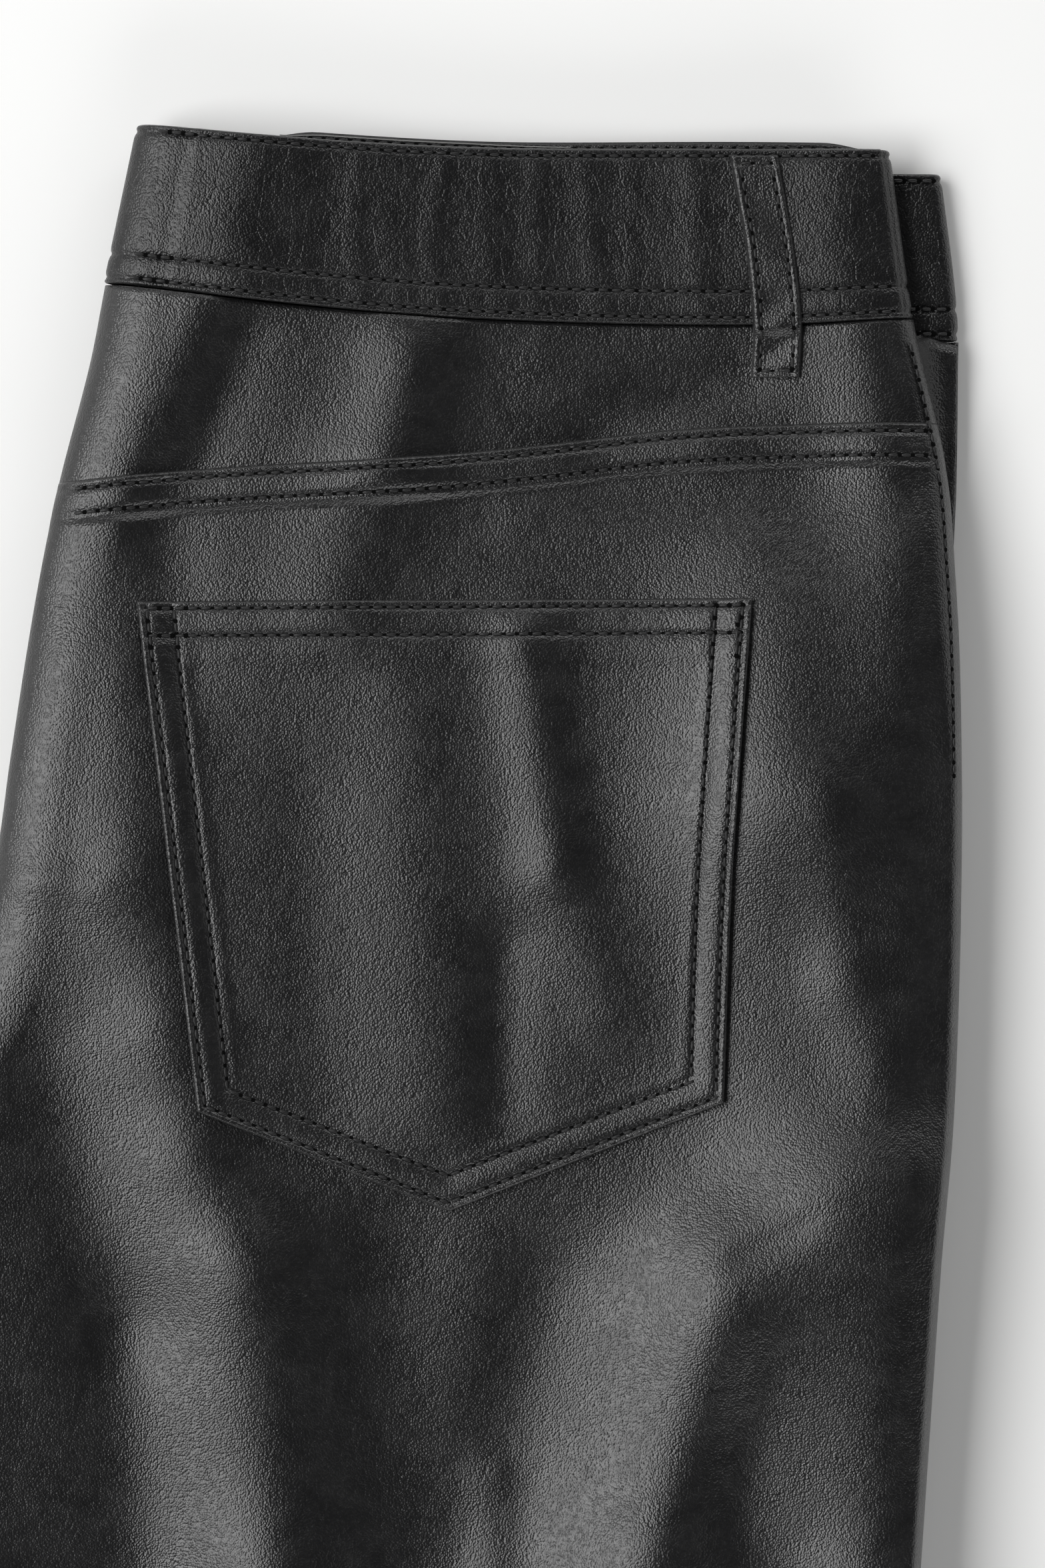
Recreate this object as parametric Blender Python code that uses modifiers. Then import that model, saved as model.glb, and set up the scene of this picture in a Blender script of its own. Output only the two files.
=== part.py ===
"""Straight-leg leather trousers, buttoned, folded in half along the seat seam and laid flat.

The seat seam and the crotch lie on the left (-X), the side seams on the right (+X), the waist at +Y and the
hems at -Y. The right half lies on top with its back outwards and the left half lies beneath, back down.
From the top down the layers are: right back, right front, left front, left back. The two fronts are hidden
inside the fold, so they share one rounded solid that shows its layers at the side seams, inseams and hems.

Sizes are in millimetres and are scaled to metres as meshes are made. "down" is the distance below the
highest point of the waistband, and X is measured from the middle of the folded garment.
"""

import math

import bmesh
import bpy
from mathutils import Matrix, Vector

MM = 0.001

# Driving dimensions
LENGTH = 1040.0  # highest point of the waistband to the lower hem
HEM_STEP = 5.0  # the upper leg ends this much above the lower one
CROTCH = 272.0  # down to the crotch point
BAND_HEIGHT = 40.0
WALL = 1.2  # one ply of leather
BAND_WALL = 2.4  # the waistband: outer ply, interlining and facing
GAP = 0.3  # clearance between pieces that touch
PROUD = 1.5  # how far a pocket stands above the ply under it
LAP_RISE = 1.8  # how far the lapped edge at the yoke seam stands above the yoke
LAP = 8.8  # width of the lap at the yoke seam
SLIP = 5.0  # how much lower the left half lies at its side seam
LOOP_WIDTH = 11.6
LOOP_WALL = 1.4
BUTTON_RADIUS = 8.5
BUTTON_WALL = 2.0
HEM_OPENING = 40.0  # how far up the leg the open hem reaches before the layers touch
SEAM_DROP = 0.5  # the last, upright strip of a panel that meets a seam on the folded edge

# The folded edges, as (down, x)
SEAT_EDGE = (
    (0, -50.8), (38, -58.7), (57, -62.4), (86, -69.8), (113, -75.2),
    (151, -81.2), (171, -84.0), (196, -89.0), (216, -97.0), (236, -110.0), (256, -128.0), (CROTCH, -145.0),
)
INSEAM_EDGE = (
    (CROTCH, -145.0), (292, -142.0), (322, -137.0), (392, -128.0), (472, -118.5),
    (560, -110.0), (690, -102.5), (860, -98.0), (LENGTH, -95.0),
)
SIDE_EDGE = (
    (0, 127.0), (20, 129.6), (46, 133.4), (67, 138.2), (86, 141.8), (105, 143.2), (124, 144.2), (152, 144.7),
    (174, 144.7), (208, 144.0), (239, 142.6), (269, 139.9), (294, 138.2), (342, 135.0),
    (440, 128.0), (560, 122.0), (700, 118.0), (860, 114.0), (LENGTH, 110.0),
)
UNDER_SIDE_EDGE = (
    (12, 140.5), (44, 144.3), (60, 144.4), (87, 144.0), (105, 143.2), (152, 143.0),
    (208, 142.0), (269, 137.5), (342, 133.0), (440, 128.5), (560, 124.5), (700, 120.5),
    (860, 115.0), (LENGTH, 108.5),
)
UNDER_INSEAM_SHIFT = ((CROTCH, 0.0), (330, 1.5), (440, 3.0), (600, -2.0), (800, -4.5), (LENGTH, -4.0))

# Lines across the upper half, as (x, down)
WAIST_TOP = ((-51, 0.2), (-20, 3.4), (27, 6.0), (80, 6.3), (128, 6.6))
BAND_BOTTOM = ((-59, 37.8), (-20, 42.6), (27, 46.5), (95, 48.1), (134, 46.4))
YOKE_SEAM = ((-70, 85.5), (-31, 82.0), (13, 79.6), (43, 76.8), (76, 73.0), (116, 71.4), (140, 71.4))

# Height of the folded stack, as (down, height): it is springy at the seat and pressed flat at the hem
STACK = ((47, 13.0), (80, 14.5), (130, 17.0), (272, 17.5), (360, 16.0), (560, 14.0), (800, 12.0), (LENGTH, 10.4))

# Heights of the middle of each waistband layer, at the seat fold and at the side seams
LAYER_HEIGHTS = {
    "left back": (1.2, 1.2),
    "underlap": (4.2, 4.2),
    "left front": (7.0, 5.0),
    "right front": (11.8, 8.0),
    "right back": (14.8, 12.0),
}

# The back pocket's outline, as (x, down)
POCKET = ((-50.6, 113.7), (94.8, 113.0), (88.1, 232.1), (23.0, 258.0), (-36.1, 234.2))

# The middle line of the belt loop, as (x, down)
LOOP = ((95.5, 8.2), (97.5, 19.5), (99.5, 31.5), (101.0, 48.2), (100.6, 60.5))

# The largest soft folds of the upper face: ends of the crest as x and down, half width, height
FOLDS = (
    {"x": (-47, -62), "down": (60, 130), "width": 12, "height": 1.6},
    {"x": (-62, -50), "down": (130, 195), "width": 12, "height": 1.8},
    {"x": (-110, -108), "down": (300, 420), "width": 16, "height": 1.8},
    {"x": (-24, -22), "down": (262, 400), "width": 20, "height": 2.4},
    {"x": (84, 64), "down": (240, 345), "width": 17, "height": 2.8},
    {"x": (48, 64), "down": (128, 205), "width": 11, "height": 1.5},
    {"x": (104, 106), "down": (105, 205), "width": 13, "height": 1.4},
    {"x": (27, 27), "down": (128, 225), "width": 12, "height": -1.2},
    {"x": (-10, 20), "down": (440, 560), "width": 24, "height": 1.6},
    {"x": (60, 20), "down": (620, 900), "width": 26, "height": 1.0},
)

# Rows of the panels, down the leg
PANEL_ROWS = (
    104, 120, 136, 154, 172, 190, 208, 226, 242, 257, CROTCH, 284, 298, 318, 344, 376, 418, 468,
    530, 608, 700, 800, 890, 950, 988, 1000, LENGTH,
)
SEAM_ROW, BAND_ROW, WARP_END = 78.0, 48.0, 130.0
UPPER_COLUMNS = 12
LOWER_COLUMNS = 8
ARC_STEPS = 3


def blend(low, high, at):
    """0 below low, 1 above high, and smooth between them."""
    t = min(1.0, max(0.0, (at - low) / (high - low)))
    return t * t * (3 - 2 * t)


def mix(a, b, share):
    return a + (b - a) * share


def through(rows, at):
    """The smooth curve through (place, value) rows, held level past its ends."""
    if at <= rows[0][0]:
        return rows[0][1]
    if at >= rows[-1][0]:
        return rows[-1][1]
    i = max(k for k in range(len(rows) - 1) if rows[k][0] <= at)
    (x0, y0), (x1, y1) = rows[i], rows[i + 1]
    span = x1 - x0
    slope = (y1 - y0) / span
    before = slope if i == 0 else (y1 - rows[i - 1][1]) / (x1 - rows[i - 1][0])
    after = slope if i + 2 == len(rows) else (rows[i + 2][1] - y0) / (rows[i + 2][0] - x0)
    t = (at - x0) / span
    return (
        y0 * (1 + 2 * t) * (1 - t) ** 2
        + y1 * t * t * (3 - 2 * t)
        + span * (before * t * (1 - t) ** 2 - after * t * t * (1 - t))
    )


def slip(x):
    """How much lower than the upper half the lower half lies."""
    return SLIP * blend(-60, 140, x)


def left_edge(down, under):
    if down <= CROTCH:
        return through(SEAT_EDGE, down)
    return through(INSEAM_EDGE, down) + (through(UNDER_INSEAM_SHIFT, down) if under else 0.0)


def right_edge(down, under):
    return through(UNDER_SIDE_EDGE if under else SIDE_EDGE, down)


def warp(row, x, under):
    """The distance down of a row at x: rows follow the waist, the waistband's lower edge and the yoke seam."""
    drop = slip(x) if under else 0.0
    end = LENGTH if under else LENGTH - HEM_STEP
    stops = (
        (0.0, through(WAIST_TOP, x) + drop),
        (BAND_ROW, through(BAND_BOTTOM, x) + drop),
        (SEAM_ROW, through(YOKE_SEAM, x) + drop),
        (WARP_END, WARP_END),
        (LENGTH, end),
    )
    for (low, start), (high, stop) in zip(stops, stops[1:]):
        if row <= high:
            return mix(start, stop, (row - low) / (high - low))
    return end


def place_in_plan(row, share, under):
    """(x, down) of a point that lies at a share of the way from the left edge to the right edge, on a row."""
    down = row
    for _ in range(6):
        x = mix(left_edge(down, under), right_edge(down, under), share)
        down = warp(row, x, under)
    return x, down


def relief(x, down):
    """The soft folds of the upper face."""
    total = 0.0
    for fold in FOLDS:
        start = Vector((fold["x"][0], fold["down"][0]))
        along = Vector((fold["x"][1], fold["down"][1])) - start
        t = min(1.0, max(0.0, (Vector((x, down)) - start).dot(along) / along.length_squared))
        away = (Vector((x, down)) - start - along * t).length
        total += fold["height"] * math.exp(-((away / fold["width"]) ** 2))
    return total


def pocket_distance(x, down):
    """How far a point of the plan lies outside the pocket, or 0 inside it."""
    point, inside, nearest = Vector((x, down)), True, 1e9
    for (ax, ay), (bx, by) in zip(POCKET, POCKET[1:] + POCKET[:1]):
        a, side = Vector((ax, ay)), Vector((bx - ax, by - ay))
        t = min(1.0, max(0.0, (point - a).dot(side) / side.length_squared))
        nearest = min(nearest, (point - a - side * t).length)
        if side.x * (point.y - a.y) - side.y * (point.x - a.x) < 0:
            inside = False
    return 0.0 if inside else nearest


def loop_lift(x, down):
    """The left half's belt loop lies under the waistband and lifts what is above it."""
    loop_x = through([(d, loop) for loop, d in LOOP], down - SLIP)
    return 2.3 * math.exp(-(((x - loop_x) / 24) ** 2)) * (1 - blend(66, 96, down))


def layer_height(layer, x, down):
    """Height of the middle of a waistband layer. The underlap and the button thicken the stack at the left."""
    at_seat, at_side = LAYER_HEIGHTS[layer]
    return mix(at_seat, at_side, blend(-10, 45, x)) + loop_lift(x, down)


def top_level(x, down):
    """Height of the upper face of the leather, not counting what lies on it."""
    at_waist = layer_height("right back", x, down)
    springy = through(STACK, down) + loop_lift(x, down)
    return mix(at_waist, springy, blend(BAND_ROW, WARP_END, down)) + relief(x, down)


def bottom_level(x, down):
    """Height of the lower face of the leather: flat on the surface, lifted by the pocket and the laps."""
    near_waist = 1 - blend(104, 128, down)
    over_pocket = 1 - blend(22, 48, pocket_distance(x, down))
    return max(LAP_RISE * near_waist, PROUD * over_pocket) + loop_lift(x, down)


def fold_shape(down, side, under):
    """The rounded edge of one half on one side: height of its seam and its radius across."""
    stack = through(STACK, down) if down > WARP_END else mix(13.0, through(STACK, WARP_END), blend(40, 130, down))
    if side == "left":
        legs = blend(CROTCH - 4, CROTCH + 28, down)
        shares = (mix(0.5, 0.25, legs), mix(0.5, 0.75, legs))
        radius = mix(17.0, 7.0, legs)
    else:
        below_band = blend(90, 150, down)
        shares = (mix(0.36, 0.25, below_band), mix(0.66, 0.75, below_band))
        radius = 7.0 if down < 560 else mix(7.0, 5.0, blend(560, 900, down))
    return stack * shares[0 if under else 1] + (-0.5 if under else 0.5) * GAP, radius


def columns(count):
    """(part, position) of each column: the left arc from its seam, the flat face, the right arc to its seam."""
    arc = [-1] + [k / ARC_STEPS for k in range(ARC_STEPS)]
    flat = [k / count for k in range(count + 1)]
    return [("left", a) for a in arc] + [("flat", f) for f in flat] + [("right", a) for a in arc[::-1]]


def skin(row, column, under, inset=0.0, raised=0.0):
    """A point of the upper or lower half's outer face, or of the face that far inside it."""
    part, position = column
    out = -1.0 if under else 1.0
    level = bottom_level if under else top_level
    _, down = place_in_plan(row, {"left": 0.0, "flat": mix(0.06, 0.96, position), "right": 1.0}[part], under)
    left, right = left_edge(down, under), right_edge(down, under)
    if part == "flat":
        start = left + fold_shape(down, "left", under)[1]
        stop = right - fold_shape(down, "right", under)[1]
        x = mix(start, stop, position)
        down = warp(row, x, under)
        return Vector((x, LENGTH / 2 - down, level(x, down) + out * (raised - inset)))
    seam, radius = fold_shape(down, part, under)
    side, edge = (-1.0, left) if part == "left" else (1.0, right)
    centre = edge - side * radius
    reach = radius + raised - inset
    angle = max(0.0, position) * math.pi / 2
    x = centre + side * reach * math.cos(angle)
    down = warp(row, x, under)
    if position < 0:
        return Vector((x, LENGTH / 2 - down, seam))
    base = seam + out * SEAM_DROP
    height = level(centre, down) + out * (raised - inset) - base
    return Vector((x, LENGTH / 2 - down, base + height * math.sin(angle)))


def triangulate(obj):
    """Fixes which way each twisted quad is split, so that close faces stay clear of each other."""
    split = obj.modifiers.new("triangles", "TRIANGULATE")
    split.quad_method = "BEAUTY"
    split.ngon_method = "BEAUTY"


def new_object(name, mesh, material):
    obj = bpy.data.objects.new(name, mesh)
    obj.data.materials.append(material)
    TROUSERS.objects.link(obj)
    return obj


def grid(across, along, place, closed=False):
    """A grid of across by along faces, whose vertices are moved to place(column, row).

    A closed grid is a tube: its last column is welded to its first. Returns the mesh and its vertices by place.
    """
    mesh = bmesh.new()
    bmesh.ops.create_grid(mesh, x_segments=across, y_segments=along, size=0.5)
    table = {}
    for vertex in mesh.verts:
        column = round((vertex.co.x + 0.5) * across)
        row = round((vertex.co.y + 0.5) * along)
        table[column, row] = vertex
        vertex.co = place(column, row) * MM
    if closed:
        welds = {table.pop((across, row)): table[0, row] for row in range(along + 1)}
        bmesh.ops.weld_verts(mesh, targetmap=welds)
    bmesh.ops.recalc_face_normals(mesh, faces=mesh.faces)
    return mesh, table


def face_outwards(mesh, upwards):
    """Turns the faces of an open sheet so that they point up, or down."""
    total = sum((face.normal.z * face.calc_area() for face in mesh.faces))
    if (total > 0) != upwards:
        bmesh.ops.reverse_faces(mesh, faces=mesh.faces)


def ply(name, mesh, material, wall=WALL, offset=-1.0):
    """An open sheet made into one ply of leather. Offset -1 thickens it inwards and 1 outwards."""
    data = bpy.data.meshes.new(name)
    mesh.normal_update()
    mesh.to_mesh(data)
    data.shade_smooth()
    obj = new_object(name, data, material)
    solid = obj.modifiers.new("ply", "SOLIDIFY")
    solid.thickness = wall * MM
    solid.offset = offset
    solid.use_even_offset = True
    triangulate(obj)
    return obj


def half_sheet(rows, under, raises=None):
    """The open sheet of a yoke or leg panel, from its rows listed from the waist down."""
    across = columns(LOWER_COLUMNS if under else UPPER_COLUMNS)
    lifted = raises or {}
    mesh, _ = grid(
        len(across) - 1,
        len(rows) - 1,
        lambda c, r: skin(rows[-1 - r], across[c], under, raised=lifted.get(rows[-1 - r], 0.0)),
    )
    face_outwards(mesh, not under)
    return mesh


def lap_row(width):
    """The row that lies that far below the yoke seam."""
    return SEAM_ROW + width * (WARP_END - SEAM_ROW) / (WARP_END - 77.0)


def make_yoke(name, under, material):
    rows = [BAND_ROW + 1.5 * GAP, 58.0, 68.0, SEAM_ROW, lap_row(LAP - 0.5)]
    return ply(name, half_sheet(rows, under), material)


def make_panel(name, under, material):
    """The leg's back panel. Its upper edge laps over the yoke. Returns it with its open sheet."""
    rows = [SEAM_ROW, lap_row(LAP), lap_row(LAP + 5)] + [row for row in PANEL_ROWS if row > lap_row(LAP + 8)]
    sheet = half_sheet(rows, under, {SEAM_ROW: LAP_RISE, rows[1]: LAP_RISE})
    kept = sheet.copy()
    return ply(name, sheet, material), kept


def make_pocket(name, panel_sheet, gap, material):
    """The patch pocket: the panel's own sheet cut to the pocket's outline and moved out by a gap."""
    patch = panel_sheet.copy()
    for (ax, ay), (bx, by) in zip(POCKET, POCKET[1:] + POCKET[:1]):
        corner = Vector((ax, LENGTH / 2 - ay, 0)) * MM
        side = Vector((bx - ax, ay - by, 0))
        outward = Vector((-side.y, side.x, 0)).normalized()
        geometry = list(patch.verts) + list(patch.edges) + list(patch.faces)
        bmesh.ops.bisect_plane(
            patch, geom=geometry, dist=1e-6, plane_co=corner, plane_no=outward, clear_outer=True
        )
    patch.normal_update()
    moves = {vertex: vertex.normal.copy() for vertex in patch.verts}
    for vertex, normal in moves.items():
        vertex.co += normal * gap * MM
    return ply(name, patch, material, offset=1.0)


def make_loop(name, under, material):
    """The belt loop: a flat strap that lies over the waistband and ends on the yoke."""
    steps = [0.0, 12.0, 24.0, 36.0, 40.2, 43.4, 52.3]
    line = [(d, x) for x, d in LOOP]

    def place(c, r):
        down = LOOP[0][1] + steps[len(steps) - 1 - r]
        x = through(line, down) + (c / 2 - 0.5) * LOOP_WIDTH
        past_band = blend(0.6, 3.4, down - through(BAND_BOTTOM, x))
        if under:
            down += slip(x)
            face = mix(loop_lift(x, down), bottom_level(x, down), past_band)
            return Vector((x, LENGTH / 2 - down, face - 2 * GAP))
        face = top_level(x, down) + BAND_WALL / 2 * (1 - past_band)
        return Vector((x, LENGTH / 2 - down, face + GAP))

    mesh, _ = grid(2, len(steps) - 1, place)
    face_outwards(mesh, not under)
    return ply(name, mesh, material, wall=LOOP_WALL, offset=1.0)


def band_path():
    """The waistband's way round, from the underlap to the overlap, as functions of the distance down."""
    half = BAND_WALL / 2

    def along(layer, start, end, steps, under):
        """Stations on a flat stretch, at shares of the way from the left fold to the right one."""
        for k in range(steps + 1):
            yield ("flat", layer, mix(start, end, k / steps), under)

    def turn(lower, upper, side, steps, under, inner=0.0):
        for k in range(1, steps):
            yield ("turn", lower, upper, side, k / steps, under, inner)

    stations = list(along("underlap", 0.25, 0.11, 3, True))
    stations += turn("underlap", "right front", "left", 6, True, inner=7.0)
    stations += along("right front", 0.11, 0.985, 9, False)
    stations += turn("right front", "right back", "right", 6, False)
    stations += along("right back", 0.985, 0.085, 14, False)
    stations += turn("right back", "left back", "left", 8, False)
    stations += along("left back", 0.085, 0.985, 16, True)
    stations += turn("left back", "left front", "right", 6, True)
    stations += along("left front", 0.985, 0.12, 9, True)

    def point(station, share):
        kind, under = station[0], station[3] if station[0] == "flat" else station[5]
        row = mix(0.0, BAND_ROW, share)
        if kind == "flat":
            _, layer, across, _ = station
            x, down = place_in_plan(row, across, under)
            return x, down, layer_height(layer, x, down)
        _, first, second, side, turned, _, inner = station
        outer = 0.085 if side == "left" and not inner else 0.11 if side == "left" else 0.985
        x0, down = place_in_plan(row, outer, under)
        low, high = (layer_height(layer, x0, down) for layer in (first, second))
        edge = left_edge(down, under) + inner + half if side == "left" else right_edge(down, under) - half
        middle, rise = (low + high) / 2, (high - low) / 2
        angle = math.pi * turned
        x = mix(x0, edge, math.sin(angle))
        return x, warp(row, x, under), middle - rise * math.cos(angle)

    return stations, point


def make_waistband(material):
    """The waistband: one strip from the underlap, round the whole waist, to the overlap."""
    stations, point = band_path()
    rows = 2

    def place(c, r):
        x, down, height = point(stations[c], 1 - r / rows)
        return Vector((x, LENGTH / 2 - down, height))

    mesh, _ = grid(len(stations) - 1, rows, place)
    return ply("waistband", mesh, material, wall=BAND_WALL, offset=0.0)


def make_button(material):
    """The waist button, on the left front's layer inside the fold."""
    x, down = -22.0, 26.0
    height = layer_height("left front", x, down) + BAND_WALL / 2 + GAP / 2 + BUTTON_WALL / 2
    bpy.ops.mesh.primitive_cylinder_add(
        vertices=24, radius=BUTTON_RADIUS * MM, depth=BUTTON_WALL * MM,
        location=(x * MM, (LENGTH / 2 - down) * MM, height * MM),
    )
    button = bpy.context.object
    button.name = "waist_button"
    button.data.materials.append(material)
    for collection in button.users_collection:
        collection.objects.unlink(button)
    TROUSERS.objects.link(button)
    return button


def lobe(down, side, share):
    """A point on the bulging edges of the two fronts: share runs from the upper seam, 0, to the lower one, 1."""
    under = share > 0.5
    upper, _ = fold_shape(down, side, False)
    lower, radius = fold_shape(down, side, True)
    middle = (upper + lower) / 2
    half = (upper - lower) / 2 - 1.5 * GAP
    height = middle + half * (1 - 2 * share)
    turned = min(1.0, abs(abs(height - middle) - half) / half)
    edge = left_edge(down, under) if side == "left" else right_edge(down, under)
    inwards = radius * 0.8 * (1 - math.sqrt(max(0.0, 1 - turned**2)))
    return edge + inwards * (1 if side == "left" else -1), height


def make_fronts(material):
    """Both fronts in one rounded solid that fills the fold and shows two layers at its open edges."""
    across = columns(LOWER_COLUMNS)
    rows = [BAND_ROW + 1, 58.0, 68.0, SEAM_ROW, lap_row(LAP)] + [r for r in PANEL_ROWS if r > lap_row(LAP + 1)]
    side_shares = (0.2, 0.38, 0.5, 0.62, 0.8)

    def face(row, column, under):
        """The inner face of the upper or lower back, less the gap. The hidden seat fold is left roomy."""
        part, position = column
        inset = WALL + GAP
        if part == "left":
            inset = mix(3.5, inset, blend(CROTCH, CROTCH + 20, row))
        if part == "flat" and not under:
            inset += 1.2
        if part == "flat" or position < 0:
            return skin(row, column, under, inset)
        point = skin(row, column, under, inset + 0.9)
        point.z += SEAM_DROP if under else -SEAM_DROP
        return point

    def side_points(row, top, low, side):
        """The edge from the upper seam to the lower one: inside the seat fold, or out at the two seams."""
        shown = blend(CROTCH - 2, CROTCH + 14, row) if side == "left" else 1.0
        found = []
        for share in side_shares:
            hidden = top.lerp(low, share)
            hidden.x += 2 * share * (1 - share) * (-1 if side == "left" else 1)
            x, height = lobe(LENGTH / 2 - hidden.y, side, share)
            found.append(hidden.lerp(Vector((x, hidden.y, height)), shown))
        return found

    def ring(row):
        """One section: the upper face, the right edge, the lower face and the left edge."""
        open_hem = blend(LENGTH - HEM_OPENING - 10, LENGTH - HEM_OPENING, row)
        middle = through(STACK, row) / 2
        upper = [face(row, column, False) for column in across]
        lower = [face(row, column, True) for column in across]
        for points, ply_face in ((upper, middle + WALL + GAP), (lower, middle - WALL - GAP)):
            for point, (part, _) in zip(points, across):
                if part == "flat":
                    point.z = mix(point.z, ply_face, open_hem)
        if row in (rows[0], rows[-1]):
            for high, low in zip(upper, lower):
                high.y = low.y
        right = side_points(row, upper[-1], lower[-1], "right")
        left = side_points(row, upper[0], lower[0], "left")
        return upper + right + lower[::-1] + left[::-1]

    rings = [ring(row) for row in rows]
    last = len(rows) - 1
    mesh, table = grid(len(rings[0]), last, lambda c, r: rings[last - r][c % len(rings[0])], closed=True)
    for end in (0, last):
        close_end(mesh, [table[c, end] for c in range(len(rings[0]))], len(across), len(side_shares))
    bmesh.ops.recalc_face_normals(mesh, faces=mesh.faces)
    data = bpy.data.meshes.new("fronts")
    mesh.to_mesh(data)
    data.shade_smooth()
    return new_object("folded_fronts", data, material)


def close_end(mesh, ring, width, edge_count):
    """Closes an end section with a ladder of faces from its upper line to its lower one."""
    upper = ring[:width]
    right = ring[width : width + edge_count]
    lower = ring[width + edge_count : 2 * width + edge_count][::-1]
    left = ring[2 * width + edge_count :][::-1]
    arc = ARC_STEPS + 2
    for a, b, c, d in zip(upper[arc:], upper[arc + 1 : -arc], lower[arc + 1 : -arc], lower[arc:]):
        mesh.faces.new((a, b, c, d))
    mesh.faces.new([*upper[-arc - 1 :], *right, *lower[: -arc - 2 : -1]])
    mesh.faces.new([*upper[arc::-1], *left, *lower[: arc + 1]])


def cut_hem_layers(fronts):
    """Splits the two fronts at the hem, and ends the upper one above the lower one."""
    middle = through(STACK, LENGTH) / 2
    for name, low, high, depth in (("hem_slit", -0.3, 0.3, 25.0), ("hem_step", -0.3, 8.0, HEM_STEP)):
        size = Vector((400, depth + 20, high - low)) * MM
        centre = Vector((0, (depth - 20 - LENGTH) / 2, middle + (low + high) / 2)) * MM
        block = bmesh.new()
        bmesh.ops.create_cube(block, size=1.0, matrix=Matrix.LocRotScale(centre, None, size))
        data = bpy.data.meshes.new(name)
        block.to_mesh(data)
        cutter = bpy.data.objects.new(name, data)
        cutter.hide_render = True
        cutter.display_type = "WIRE"
        CUTTERS.objects.link(cutter)
        cut = fronts.modifiers.new(name, "BOOLEAN")
        cut.operation = "DIFFERENCE"
        cut.solver = "EXACT"
        cut.object = cutter
    triangulate(fronts)


def leather(name, colour, roughness):
    material = bpy.data.materials.new(name)
    material.use_nodes = True
    shader = material.node_tree.nodes["Principled BSDF"]
    shader.inputs["Base Color"].default_value = (*colour, 1)
    shader.inputs["Roughness"].default_value = roughness
    shader.inputs["Metallic"].default_value = 0.0
    return material


def clear_scene():
    for obj in list(bpy.data.objects):
        bpy.data.objects.remove(obj)


def new_collection(name):
    collection = bpy.data.collections.new(name)
    bpy.context.scene.collection.children.link(collection)
    return collection


def make_half(side, under, skin_leather):
    """The yoke, back panel, pocket and belt loop of one half."""
    make_yoke(f"{side}_yoke", under, skin_leather)
    _, sheet = make_panel(f"{side}_back_panel", under, skin_leather)
    make_pocket(f"{side}_back_pocket", sheet, GAP if under else 1.5 * GAP, skin_leather)
    make_loop(f"{side}_belt_loop", under, skin_leather)


clear_scene()
TROUSERS = new_collection("leather_trousers")
CUTTERS = new_collection("cutters")
BLACK_LEATHER = leather("black_leather", (0.018, 0.018, 0.019), 0.42)
BLACK_HORN = leather("black_button", (0.02, 0.02, 0.02), 0.3)

make_half("right", False, BLACK_LEATHER)
make_half("left", True, BLACK_LEATHER)
make_waistband(BLACK_LEATHER)
make_button(BLACK_HORN)
cut_hem_layers(make_fronts(BLACK_LEATHER))
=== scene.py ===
"""The looks of a pair of black leather trousers, folded in half along the seat seam and laid flat.

The right half lies on top with its back outwards. Sizes in the tables are in millimetres: "down" is the
distance below the highest point of the waistband and X is measured from the middle of the folded garment.
"""

import math
from collections import namedtuple

import bmesh
import bpy
import numpy as np
from mathutils import Matrix, Vector


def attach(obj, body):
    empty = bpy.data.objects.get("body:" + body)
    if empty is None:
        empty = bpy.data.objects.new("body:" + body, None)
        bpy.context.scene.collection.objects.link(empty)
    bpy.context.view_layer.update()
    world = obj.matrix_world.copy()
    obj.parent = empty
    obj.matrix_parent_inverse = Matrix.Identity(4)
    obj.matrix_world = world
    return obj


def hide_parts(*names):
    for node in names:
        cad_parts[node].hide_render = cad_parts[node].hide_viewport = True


bl_info = {
    "name": "Folded Leather Trousers",
    "version": (1, 0, 0),
    "blender": (4, 5, 0),
    "location": "3D View > Sidebar > Trousers",
    "description": "Leather, folds and stitching for a pair of trousers laid flat",
    "category": "Object",
}

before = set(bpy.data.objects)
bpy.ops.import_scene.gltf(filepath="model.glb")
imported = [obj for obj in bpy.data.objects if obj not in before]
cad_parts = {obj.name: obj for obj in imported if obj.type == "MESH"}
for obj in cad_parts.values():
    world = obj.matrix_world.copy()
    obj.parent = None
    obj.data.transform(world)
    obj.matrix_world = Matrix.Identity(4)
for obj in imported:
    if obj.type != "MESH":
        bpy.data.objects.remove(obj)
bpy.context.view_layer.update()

MM = 0.001
LENGTH = 1040.0  # highest point of the waistband to the lower hem
HEM_STEP = 5.0  # how much higher the upper hem ends
CROTCH = 272.0  # how far down the crotch is
WALL = 1.1  # thickness of one ply of leather
GAP = 0.3  # between neighbours
LAP, LAP_RISE = 8.3, 1.5  # width and height of the folded edge at the yoke seam
BAND_DEPTH, BAND_WALL = 40.5, 2.4  # the waistband's height and thickness
PANEL_ROWS = (2.0, 7.8)  # topstitching below the panel's folded edge
PATCH_ROWS = (2.0, 8.0)  # inside the pocket's edges
HEM_ROWS = (1.7, 8.2)  # below the pocket's top
BAND_EDGE_ROW, BAND_INNER_ROW = 1.7, 7.7  # in from the waistband's edges
LOOP_SEAM = 3.8  # either side of the belt loop's middle
SLIP = 5.0  # how much lower the lower half lies at the side seam
HEM_OPENING = 40.0  # how far up from the hems the fronts part

# Rows run across the garment. Row 0 is its upper edge, and then come the waistband's lower edge, the yoke
# seam and the first row that is straight.
BAND_ROW, SEAM_ROW, WARP_END = 48.0, 78.0, 130.0

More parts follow.
